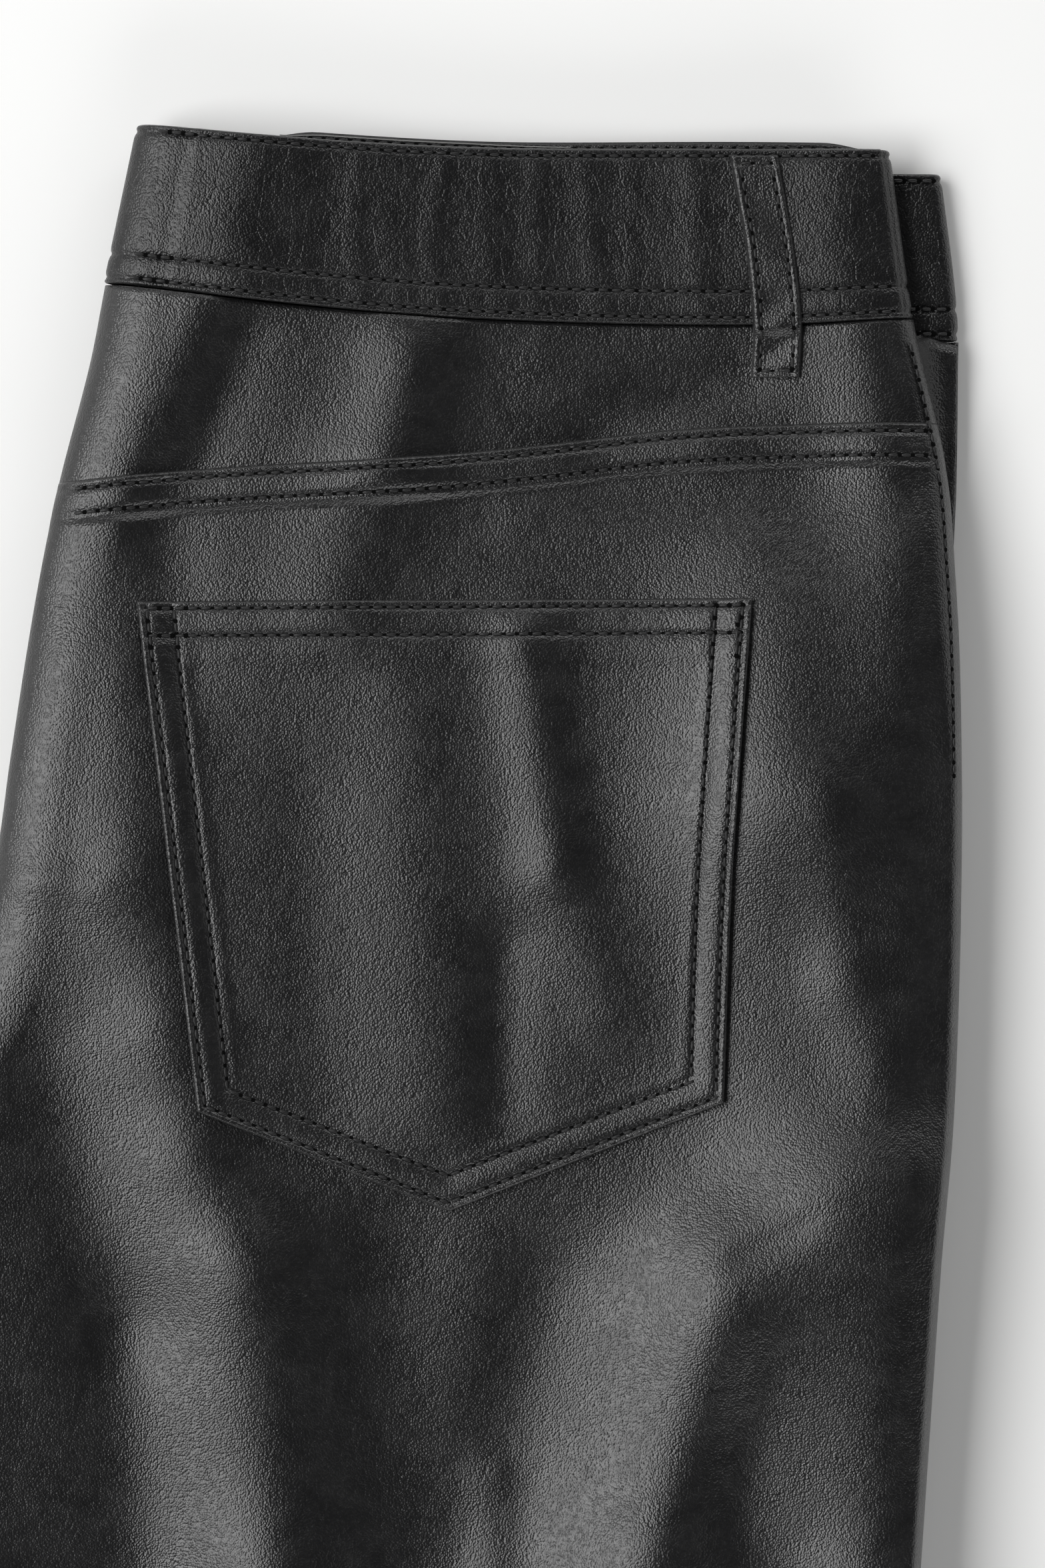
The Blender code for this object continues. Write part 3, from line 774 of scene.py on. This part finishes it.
def hex_property(name, of, default):
    return bpy.props.StringProperty(name=name, description="sRGB hex colour of " + of, default=default)


class TrouserSettings(bpy.types.PropertyGroup):
    leather_colour: hex_property("Leather", "the dyed leather", "#0C0C0D")
    worn_colour: hex_property("Worn leather", "the leather where the finish has rubbed thin", "#0E0E0F")
    thread_colour: hex_property("Thread", "the topstitching", "#070708")
    edge_colour: hex_property("Cut edge", "raw leather edges", "#8A8A88")
    floor_colour: hex_property("Floor", "the surface below", "#F4F4F3")
    roughness: bpy.props.FloatProperty(
        name="Leather roughness", description="0 is a mirror and 1 is chalk", default=0.33, min=0.1, max=0.9,
        subtype="FACTOR",
    )
    grain: bpy.props.FloatProperty(
        name="Grain", description="Width of one pebble of the grain", default=0.00055, min=0.0003, max=0.003,
        unit="LENGTH",
    )
    stitch_pitch: bpy.props.FloatProperty(
        name="Stitch length", description="From one needle hole to the next", default=0.0031, min=0.002,
        max=0.006, unit="LENGTH",
    )


SHARED = {}


def shared(name, build, *values, **options):
    """A material that several pieces have, built the first time that it is asked for."""
    if name not in SHARED:
        SHARED[name] = build(name, *values, **options)
    return SHARED[name]


def leather():
    s = bpy.context.scene.trousers
    return shared(
        "black_nappa", nappa_leather, s.leather_colour, s.worn_colour, s.grain / MM, s.roughness, creases=0.10
    )


def band_leather():
    """The waistband's leather, fused to its interlining: stiffer, so finely crazed."""
    s = bpy.context.scene.trousers
    return shared(
        "black_nappa_fused", nappa_leather, s.leather_colour, s.worn_colour, s.grain / MM, s.roughness,
        creases=0.22, shine=0.5, crack_mm=3.6, crack=0.3,
    )


# ---------------------------------------------------------------- pieces


class TROUSERS_OT_yokes(bpy.types.Operator):
    """The back yokes, which run under the folded edge of the back panels"""

    bl_idname = "trousers.yokes"
    bl_label = "Yokes"

    def execute(self, context):
        rows = spaced(BAND_ROW + 0.3, SEAM_ROW + 6.0, 1.0)
        for side, under in (("right", False), ("left", True)):
            yoke = half_surface(f"{side}_yoke_leather", rows, under, leather(), lambda x, d: x * 0.0)
            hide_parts(f"{side}_yoke")
        return {"FINISHED"}


class TROUSERS_OT_back_panels(bpy.types.Operator):
    """The leg backs, with their folded upper edge lapped over the yoke"""

    bl_idname = "trousers.back_panels"
    bl_label = "Back panels"

    def execute(self, context):
        fine = np.arange(0.0, 13.0, 0.35)
        scale = (WARP_END - SEAM_ROW) / (WARP_END - 77.0)
        rows = np.concatenate([
            SEAM_ROW + fine * scale,
            np.arange(SEAM_ROW + 14.0, 352.0, 2.0),
            np.arange(356.0, 700.0, 5.0),
            np.linspace(708.0, LENGTH, 40),
        ])
        for side, under in (("right", False), ("left", True)):
            detail = under_seam_detail if under else yoke_seam_detail
            panel = half_surface(f"{side}_back_leather", rows, under, leather(), detail)
            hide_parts(f"{side}_back_panel")
        return {"FINISHED"}


def pocket_sides(share):
    """x of the pocket's left and right sides at a share of the way down them."""
    at = (0.0, 0.525, 1.0)
    return [through([(a, x) for a, (x, _) in zip(at, side)], share) for side in (POCKET_LEFT, POCKET_RIGHT)]


def pocket_place(u, v):
    """(x, down) on the pocket: u runs from its left side to its right, v from its top to its pointed edge."""
    left, right = pocket_sides(v)
    x = mix(left, right, u)
    tip_share = (POCKET_TIP[0] - POCKET_LEFT[2][0]) / (POCKET_RIGHT[2][0] - POCKET_LEFT[2][0])
    top = mix(POCKET_LEFT[0][1], POCKET_RIGHT[0][1], u)
    to_tip = mix(POCKET_LEFT[2][1], POCKET_TIP[1], np.clip(u / tip_share, 0, 1))
    from_tip = mix(POCKET_TIP[1], POCKET_RIGHT[2][1], np.clip((u - tip_share) / (1 - tip_share), 0, 1))
    bottom = np.where(u <= tip_share, to_tip, from_tip)
    return x, mix(top, bottom, v)


def pocket_top(x):
    """How far down the pocket's top edge is."""
    (left, left_down), (right, right_down) = POCKET_LEFT[0], POCKET_RIGHT[0]
    return mix(left_down, right_down, (x - left) / (right - left))


def pocket_outline():
    """The pocket's edges below its top, as pairs of (x, down) corners."""
    corners = (*POCKET_LEFT, POCKET_TIP, *reversed(POCKET_RIGHT))
    return list(zip(corners, corners[1:]))


def pocket_detail(x, down):
    """Height of the pocket above the panel: rounded folded edges, a hem, and two rows of sunk stitching."""
    inside = np.min([away_from(x, down, start, end) for start, end in pocket_outline()], axis=0)
    from_top = down - pocket_top(x)
    nearest = np.minimum(inside, from_top)
    lip = np.sqrt(1 - (1 - np.clip(nearest / 1.2, 0, 1)) ** 2)
    doubled = np.maximum(1 - blend(8.5, 11.0, inside), 1 - blend(14.0, 16.5, from_top))
    sides = 1 - np.clip(inside / 7.8, 0, 1)
    height = 0.35 + 1.0 * lip + 0.35 * doubled + 0.75 * sides
    height = height + groove(inside - PATCH_ROWS[0], 0.8, 0.5) + groove(inside - PATCH_ROWS[1], 0.85, 0.5)
    return height + groove(from_top - HEM_ROWS[0], 0.75, 0.45) + groove(from_top - HEM_ROWS[1], 0.8, 0.5)


def pocket_level(x, down):
    return outer_level(x, down, False) + pocket_detail(x, down)


class TROUSERS_OT_back_pockets(bpy.types.Operator):
    """The patch pockets, with a folded hem along the top and a pointed lower edge"""

    bl_idname = "trousers.back_pockets"
    bl_label = "Back pockets"

    def execute(self, context):
        near = (
            0.0, 0.15, 0.4, 0.7, 1.05, 1.4, 1.75, 2.0, 2.3, 2.7, 3.3,
            4.5, 6.0, 7.0, 7.5, 7.8, 8.1, 8.5, 9.0, 10.0, 11.5,
        )
        across = spaced(0.0, 134.0, 1.7, near, near) / 134.0
        downwards = spaced(0.0, 130.0, 1.7, near, near) / 130.0
        u, v = np.meshgrid(across, downwards)
        x, down = pocket_place(u, v)
        for side, under in (("right", False), ("left", True)):
            z = pocket_level(x, down)
            if under:
                z = np.maximum(0.0, 1.5 - pocket_detail(x, down))
            pocket = surface_mesh(f"{side}_back_pocket_leather", x, down, z, leather())
            thicken(pocket, 1.0, -1.0 if not under else 1.0)
            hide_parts(f"{side}_back_pocket")
        return {"FINISHED"}


def loop_place(across, along):
    """(x, down) at a distance across the belt loop from its middle, and along it from its upper end."""
    down = LOOP[0][1] + along
    return loop_middle(down) + across, down


def loop_level(x, down):
    """Height of the upper belt loop: over the waistband, then down on to the yoke."""
    past = blend(0.4, 3.6, down - through(BAND_BOTTOM, x))
    face = outer_level(x, down, False) + 1.2 * (1 - past) + 0.25
    across = np.abs(x - loop_middle(down)) / (LOOP_WIDTH / 2)
    edge = np.sqrt(1 - np.clip((across - 0.84) / 0.16, 0, 1) ** 2)
    body = 1.35 * edge + 0.25 * blend(0.45, 0.75, across) * edge
    wrinkles = 0.22 * np.sin(down * 0.55 + 0.5 * x) * np.exp(-(((down - 50) / 9) ** 2))
    wrinkles = wrinkles + 0.16 * np.sin(down * 0.33 - 0.35 * x + 1.0) * np.exp(-(((down - 26) / 14) ** 2))
    body = body + wrinkles * edge + groove(across * LOOP_WIDTH / 2 - LOOP_SEAM, 0.45, 0.22)
    tacks = groove(down - 10.0, 0.7, 0.35) + groove(down - 59.0, 0.7, 0.35)
    return face + body + tacks * edge


class TROUSERS_OT_belt_loops(bpy.types.Operator):
    """The back side belt loops"""

    bl_idname = "trousers.belt_loops"
    bl_label = "Belt loops"

    def execute(self, context):
        half = LOOP_WIDTH / 2
        across = np.concatenate([[-half], np.linspace(-half, half, 37), [half]])
        along = np.linspace(0.0, 52.3, 105)
        a, b = np.meshgrid(across, along)
        x, down = loop_place(a, b)
        for side, under in (("right", False), ("left", True)):
            if under:
                low = down + slip(x)
                past = blend(0.6, 3.4, down - through(BAND_BOTTOM, x))
                z = np.maximum(0.0, mix(loop_lift(x, low), bottom_level(x, low), past) - 1.9)
                loop = surface_mesh("left_belt_loop_leather", x, low, z, leather())
                thicken(loop, 1.3, 1.0)
            else:
                z = loop_level(x, down)
                z[:, 0] = z[:, 1] - 1.0
                z[:, -1] = z[:, -2] - 1.0
                loop = surface_mesh("right_belt_loop_leather", x, down, z, leather())
                thicken(loop, 0.8, -1.0)
            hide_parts(f"{side}_belt_loop")
        return {"FINISHED"}


def band_stations():
    """The waistband's way round, from the underlap to the overlap: (kind, layer, share, under, ...)."""
    stations = []

    def along(layer, start, end, steps, under):
        stations.extend(("flat", layer, mix(start, end, k / steps), under) for k in range(steps + 1))

    def turn(first, second, side, steps, under, inner=0.0):
        stations.extend(("turn", first, second, side, k / steps, under, inner) for k in range(1, steps))

    along("underlap", 0.25, 0.11, 12, True)
    turn("underlap", "right front", "left", 12, True, 7.0)
    along("right front", 0.11, 0.985, 90, False)
    turn("right front", "right back", "right", 14, False)
    along("right back", 0.985, 0.085, 150, False)
    turn("right back", "left back", "left", 26, False)
    along("left back", 0.085, 0.985, 60, True)
    turn("left back", "left front", "right", 14, True)
    along("left front", 0.985, 0.12, 90, True)
    return stations


def band_wrinkles(x, row):
    """Upright wrinkles of the fused waistband."""
    total = x * 0.0
    for wrinkle in BAND_WRINKLES:
        middle = wrinkle.x + wrinkle.lean * (row / BAND_ROW - 0.5)
        waver = 1.2 * math.sin(wrinkle.x) * np.sin(row / 7.0 + wrinkle.x)
        total = total + wrinkle.height * np.exp(-(((x - middle - waver) / wrinkle.width) ** 2))
    return total


def band_row_detail(row):
    """The waistband's face by row: rounded edges and sunk topstitching."""
    depth = row * BAND_DEPTH / BAND_ROW
    from_bottom = BAND_DEPTH - depth
    edge = np.minimum(depth, from_bottom)
    lip = np.sqrt(1 - (1 - np.clip(edge / 1.1, 0, 1)) ** 2)
    rows = groove(depth - BAND_EDGE_ROW, 0.75, 0.45) + groove(from_bottom - BAND_EDGE_ROW, 0.75, 0.45)
    return lip - 1 + rows + groove(from_bottom - BAND_INNER_ROW, 0.8, 0.48)


def inner_rise(x):
    """How far the right front's waistband stands above the back's along the waist."""
    return 2.0 * blend(-22, -8, x) * (1 - blend(112, 126, x))


def band_point(station, row):
    """(x, down, height) of the waistband's middle, for an array of rows."""
    kind = station[0]
    if kind == "flat":
        _, layer, across, under = station
        x, down = place_in_plan(row, across, under)
        z = layer_height(layer, x, down)
        if layer == "right front":
            down = down - inner_rise(x)
        return x, down, z
    _, first, second, side, turned, under, inner = station
    outer = 0.985 if side == "right" else 0.11 if inner else 0.085
    x0, down = place_in_plan(row, outer, under)
    low, high = layer_height(first, x0, down), layer_height(second, x0, down)
    half = BAND_WALL / 2
    if side == "left":
        edge = left_edge(down, under) + inner + half
    else:
        edge = right_edge(down, under) - half
    angle = math.pi * turned
    x = mix(x0, edge, math.sin(angle))
    return x, warp(row, x, under), (low + high) / 2 - (high - low) / 2 * math.cos(angle)


def band_level(x, down):
    """Height of the outer face of the waistband's upper back layer."""
    row = unwarp(x, down)
    z = layer_height("right back", x, down) + BAND_WALL / 2
    return z + band_row_detail(row) + band_wrinkles(x, row)


def under_band_level(x, down):
    """Height of the inner face of the left front's waistband, which shows at the right end."""
    return layer_height("left front", x, down) + BAND_WALL / 2 + 0.05


def inner_band_level(x, down):
    """Height of the inner face of the right front's waistband, which shows above the upper edge."""
    return layer_height("right front", x, down) + BAND_WALL / 2 - 0.1


class TROUSERS_OT_waistband(bpy.types.Operator):
    """The waistband: one strip round the whole waist, with its ends lapped inside the fold"""

    bl_idname = "trousers.waistband"
    bl_label = "Waistband"

    def execute(self, context):
        near = (0.0, 0.15, 0.4, 0.7, 1.0, 1.35, 1.7, 2.05, 2.5, 3.2, 4.4, 5.8, 6.9, 7.35, 7.7, 8.05, 8.6, 9.6)
        row = spaced(0.0, BAND_DEPTH, 1.3, near[:11], near) * BAND_ROW / BAND_DEPTH
        stations = band_stations()
        xs, downs, zs = (np.zeros((len(row), len(stations))) for _ in range(3))
        for c, station in enumerate(stations):
            xs[:, c], downs[:, c], zs[:, c] = band_point(station, row)
        normal_x = np.gradient(zs, axis=1)
        normal_z = -np.gradient(xs, axis=1)
        size = np.hypot(normal_x, normal_z) + 1e-9
        out_x, out_z = normal_x / size, normal_z / size
        detail = band_row_detail(row)[:, None] * np.ones_like(xs)
        on_top = np.array([s[0] == "flat" and s[1] == "right back" for s in stations])
        detail = detail + np.where(on_top[None, :], band_wrinkles(xs, row[:, None] * np.ones_like(xs)), 0.0)
        rise = BAND_WALL / 2 + np.clip(detail, -1.1, None)
        rise = rise * np.where(zs < 2.0, 0.9, 1.0)
        outer = surface_mesh(
            "waistband_leather", xs + out_x * rise, downs, np.maximum(0.0, zs + out_z * rise), band_leather()
        )
        thicken(outer, BAND_WALL - 0.5, 1.0)
        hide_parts("waistband")

        across = np.linspace(-17.0, 52.0, 70)
        x, line = np.meshgrid(across, np.array([0.0, 0.12, 0.24]))
        down = through(WAIST_TOP, x) - 0.62 * blend(-17, -6, x) - 0.5 * (1 - blend(25, 52, x)) - 0.2 + line
        lip = inner_band_level(x, down) + 0.25 + 0.1 * np.sin(line * 13)
        raw = cut_edge("raw_facing_edge", context.scene.trousers.edge_colour)
        edge = surface_mesh("facing_edge", x, down, lip, raw)
        edge.parent = outer
        return {"FINISHED"}


def front_edge(rows, side, share):
    """The two fronts' rounded edges at one side: share runs from the upper seam, 0, to the lower one, 1."""
    under, left = share > 0.5, side == "left"
    _, down = place_in_plan(rows, 0.0 if left else 1.0, under)
    upper, _ = fold_shape(down, side, False)
    lower, radius = fold_shape(down, side, True)
    if left:
        edge = left_edge(down, under) + 3.5 * (1 - blend(CROTCH - 2, CROTCH + 14, down))
    else:
        edge = right_edge(down, under)
    turned = 2 * abs(share - 0.5)
    between = radius * 0.7 * (1 - math.sqrt(1 - abs(2 * turned - 1) ** 2)) * (turned < 0.5)
    inward = between + (0.2 if 0.1 < share < 0.9 else 1.6)
    height = mix(upper - GAP, lower + GAP, share)
    return (edge + inward if left else edge - inward), down, height


def front_face(rows, share, under):
    """The fronts' flat faces, against the backs' inner faces, which part into two layers at the hems."""
    x, down = place_in_plan(rows, share, under)
    inset = WALL + GAP + 0.9
    z = bottom_level(x, down) + inset if under else top_level(x, down) - inset
    parted = through(STACK, down) / 2 + (-1 if under else 1) * (WALL + GAP)
    return x, down, mix(z, parted, blend(LENGTH - HEM_OPENING - 10, LENGTH - HEM_OPENING, rows))


class TROUSERS_OT_fronts(bpy.types.Operator):
    """Both fronts inside the fold, shown as two soft layers at the side seams, inseams and hems"""

    bl_idname = "trousers.fronts"
    bl_label = "Fronts"

    def execute(self, context):
        rows = np.concatenate([np.arange(BAND_ROW + 1.5, 352, 3.0), np.linspace(356, LENGTH - 2, 120)])
        turn = np.linspace(0.0, 1.0, 15)
        flat = np.linspace(0.06, 0.94, 30)
        columns = [front_edge(rows, "right", share) for share in turn]
        columns += [front_face(rows, share, True) for share in flat[::-1]]
        columns += [front_edge(rows, "left", share) for share in turn[::-1]]
        columns += [front_face(rows, share, False) for share in flat]
        xs, downs, zs = (np.array(part).T for part in zip(*columns, columns[0]))
        fronts = surface_mesh("folded_fronts_leather", xs, downs, zs, leather(), closed=True, ends=True)
        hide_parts("folded_fronts")
        return {"FINISHED"}


class TROUSERS_OT_button(bpy.types.Operator):
    """The waist button, inside the fold"""

    bl_idname = "trousers.button"
    bl_label = "Button"

    def execute(self, context):
        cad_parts["waist_button"].data.materials.clear()
        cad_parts["waist_button"].data.materials.append(polished_horn("polished_horn", "#141312"))
        return {"FINISHED"}


def pocket_seam(inset):
    """The stitch line that runs down, round the point and up again, that far inside the pocket's edge."""
    v = np.linspace(HEM_ROWS[0] / 126.0, 1 - inset / 122.0, 41)
    u = inset / 136.0 * (1 + 0.08 * v)
    left = list(zip(*pocket_place(u, v)))
    right = list(zip(*pocket_place(1 - u, v)))
    return [*left, (POCKET_TIP[0], POCKET_TIP[1] - inset * 1.07), *reversed(right)]


def band_path(depth, shares, under):
    """A stitch line along the waistband, that far below its upper edge."""
    return list(zip(*place_in_plan(np.full(len(shares), depth * BAND_ROW / BAND_DEPTH), shares, under)))


class TROUSERS_OT_stitching(bpy.types.Operator):
    """The topstitching of the waistband, yoke seam, pocket, side seam and belt loop"""

    bl_idname = "trousers.stitching"
    bl_label = "Stitching"

    def execute(self, context):
        pitch = context.scene.trousers.stitch_pitch / MM
        xs = np.linspace(-66, 136, 80)
        seams = [(list(zip(xs, through(YOKE_SEAM, xs) + depth)), panel_level) for depth in PANEL_ROWS]
        downs = np.linspace(52, 155, 60)
        seams.append((list(zip(right_edge(downs, False) - 2.3, downs)), panel_level))
        self.sew("panel_stitching", seams, "right_back_leather", pitch)

        xs = np.linspace(-48.4, 92.6, 60)
        seams = [(pocket_seam(inset), pocket_level) for inset in PATCH_ROWS]
        seams.extend((list(zip(xs, pocket_top(xs) + depth)), pocket_level) for depth in HEM_ROWS)
        seams.append(([(91.4, 116.0), (90.9, 127.0)], pocket_level))
        self.sew("pocket_stitching", seams, "right_back_pocket_leather", pitch)

        depths = (BAND_EDGE_ROW, BAND_DEPTH - BAND_INNER_ROW, BAND_DEPTH - BAND_EDGE_ROW)
        seams = [(band_path(depth, np.linspace(0.03, 0.975, 90), False), band_level) for depth in depths]
        inside = np.linspace(0.90, 0.99, 12)
        seams.extend((band_path(depth, inside, True), under_band_level) for depth in depths)
        hidden = band_path(BAND_EDGE_ROW, np.linspace(0.2, 0.95, 80), False)
        seams.append(([(x, down - inner_rise(x)) for x, down in hidden], inner_band_level))
        self.sew("waistband_stitching", seams, "waistband_leather", pitch)

        seams = []
        for side in (-LOOP_SEAM, LOOP_SEAM):
            seams.append(([loop_place(side, along) for along in np.linspace(2.5, 50.5, 30)], loop_level))
        for along in (1.8, 50.8):
            seams.append(([loop_place(across, along) for across in np.linspace(-4.6, 4.6, 8)], loop_level))
        self.sew("belt_loop_stitching", seams, "right_belt_loop_leather", pitch)
        return {"FINISHED"}

    def sew(self, name, seams, on, pitch):
        thread = shared("bonded_thread", sewing_thread, bpy.context.scene.trousers.thread_colour)
        # 030303 is painted shade: near black, matt discs where the needle holes lie in shade.
        hole_shade = shared("needle_hole", needle_hole_painted_shade, "#030303")
        sewn = stitch_mesh(name, seams, thread, hole_shade, pitch)
        sewn.parent = bpy.data.objects[on]


class TROUSERS_OT_stage(bpy.types.Operator):
    """The floor, the studio lights and the camera that looks straight down"""

    bl_idname = "trousers.stage"
    bl_label = "Stage"

    def execute(self, context):
        scene = context.scene
        bpy.ops.mesh.primitive_plane_add(size=30.0, location=(0, 0, -0.0002))
        floor = context.object
        floor.name = "paper_floor"
        floor.data.materials.append(studio_floor("matt_paper", scene.trousers.floor_colour))

        target = Vector((40.6, LENGTH / 2 - 156.9, 0)) * MM
        lights = (
            {"name": "window_left", "at": (-2.40, 0.30, 2.76), "size": (3.5, 2.4), "power": 146},
            {"name": "fill_top", "at": (1.1, 3.6, 1.70), "size": (4.0, 1.6), "power": 46},
            {"name": "fill_bottom", "at": (1.3, -3.6, 1.70), "size": (4.0, 1.6), "power": 50},
        )
        for light in lights:
            data = bpy.data.lights.new(light["name"], "AREA")
            data.shape = "RECTANGLE"
            data.size, data.size_y = light["size"]
            data.energy = light["power"]
            lamp = bpy.data.objects.new(light["name"], data)
            lamp.location = target + Vector(light["at"])
            lamp.rotation_euler = (target - lamp.location).to_track_quat("-Z", "Y").to_euler()
            scene.collection.objects.link(lamp)

        world = bpy.data.worlds.new("studio") if scene.world is None else scene.world
        scene.world = world
        world.use_nodes = True
        tree = world.node_tree
        sky = add_node(tree, "ShaderNodeTexCoord").outputs["Generated"]
        height = add_node(tree, "ShaderNodeSeparateXYZ", inputs={"Vector": sky}).outputs["Z"]
        walls = add_node(
            tree,
            "ShaderNodeMapRange",
            {"interpolation_type": "SMOOTHSTEP"},
            {"Value": height, "From Min": 0.15, "From Max": 0.6, "To Min": 0.85, "To Max": 0.04},
        )
        tree.links.new(walls.outputs["Result"], tree.nodes["Background"].inputs["Strength"])
        tree.nodes["Background"].inputs["Color"].default_value = (1, 1, 1, 1)

        camera = bpy.data.objects.new("camera", bpy.data.cameras.new("camera"))
        distance = 1.5
        camera.data.sensor_width = 36.0
        camera.data.lens = 36.0 * distance / 0.371
        camera.location = target + Vector((0, 0, 0.016 + distance))
        scene.collection.objects.link(camera)
        scene.camera = camera
        scene.view_settings.view_transform = "Standard"
        return {"FINISHED"}


class TROUSERS_PT_panel(bpy.types.Panel):
    """Lists the trousers' settings and pieces"""

    bl_idname = "TROUSERS_PT_panel"
    bl_label = "Leather Trousers"
    bl_space_type = "VIEW_3D"
    bl_region_type = "UI"
    bl_category = "Trousers"

    def draw(self, context):
        for name in TrouserSettings.__annotations__:
            self.layout.prop(context.scene.trousers, name)
        for operator in OPERATORS:
            self.layout.operator(operator.bl_idname)


OPERATORS = (
    TROUSERS_OT_yokes,
    TROUSERS_OT_back_panels,
    TROUSERS_OT_back_pockets,
    TROUSERS_OT_waistband,
    TROUSERS_OT_belt_loops,
    TROUSERS_OT_fronts,
    TROUSERS_OT_button,
    TROUSERS_OT_stitching,
    TROUSERS_OT_stage,
)


def register():
    bpy.utils.register_class(TrouserSettings)
    for operator in OPERATORS:
        bpy.utils.register_class(operator)
    bpy.utils.register_class(TROUSERS_PT_panel)
    bpy.types.Scene.trousers = bpy.props.PointerProperty(type=TrouserSettings)


def unregister():
    del bpy.types.Scene.trousers
    bpy.utils.unregister_class(TROUSERS_PT_panel)
    for operator in reversed(OPERATORS):
        bpy.utils.unregister_class(operator)
    bpy.utils.unregister_class(TrouserSettings)


def main():
    register()
    bpy.ops.trousers.yokes()
    bpy.ops.trousers.back_panels()
    bpy.ops.trousers.back_pockets()
    bpy.ops.trousers.waistband()
    bpy.ops.trousers.belt_loops()
    bpy.ops.trousers.fronts()
    bpy.ops.trousers.button()
    bpy.ops.trousers.stitching()
    bpy.ops.trousers.stage()


if __name__ == "__main__":
    main()
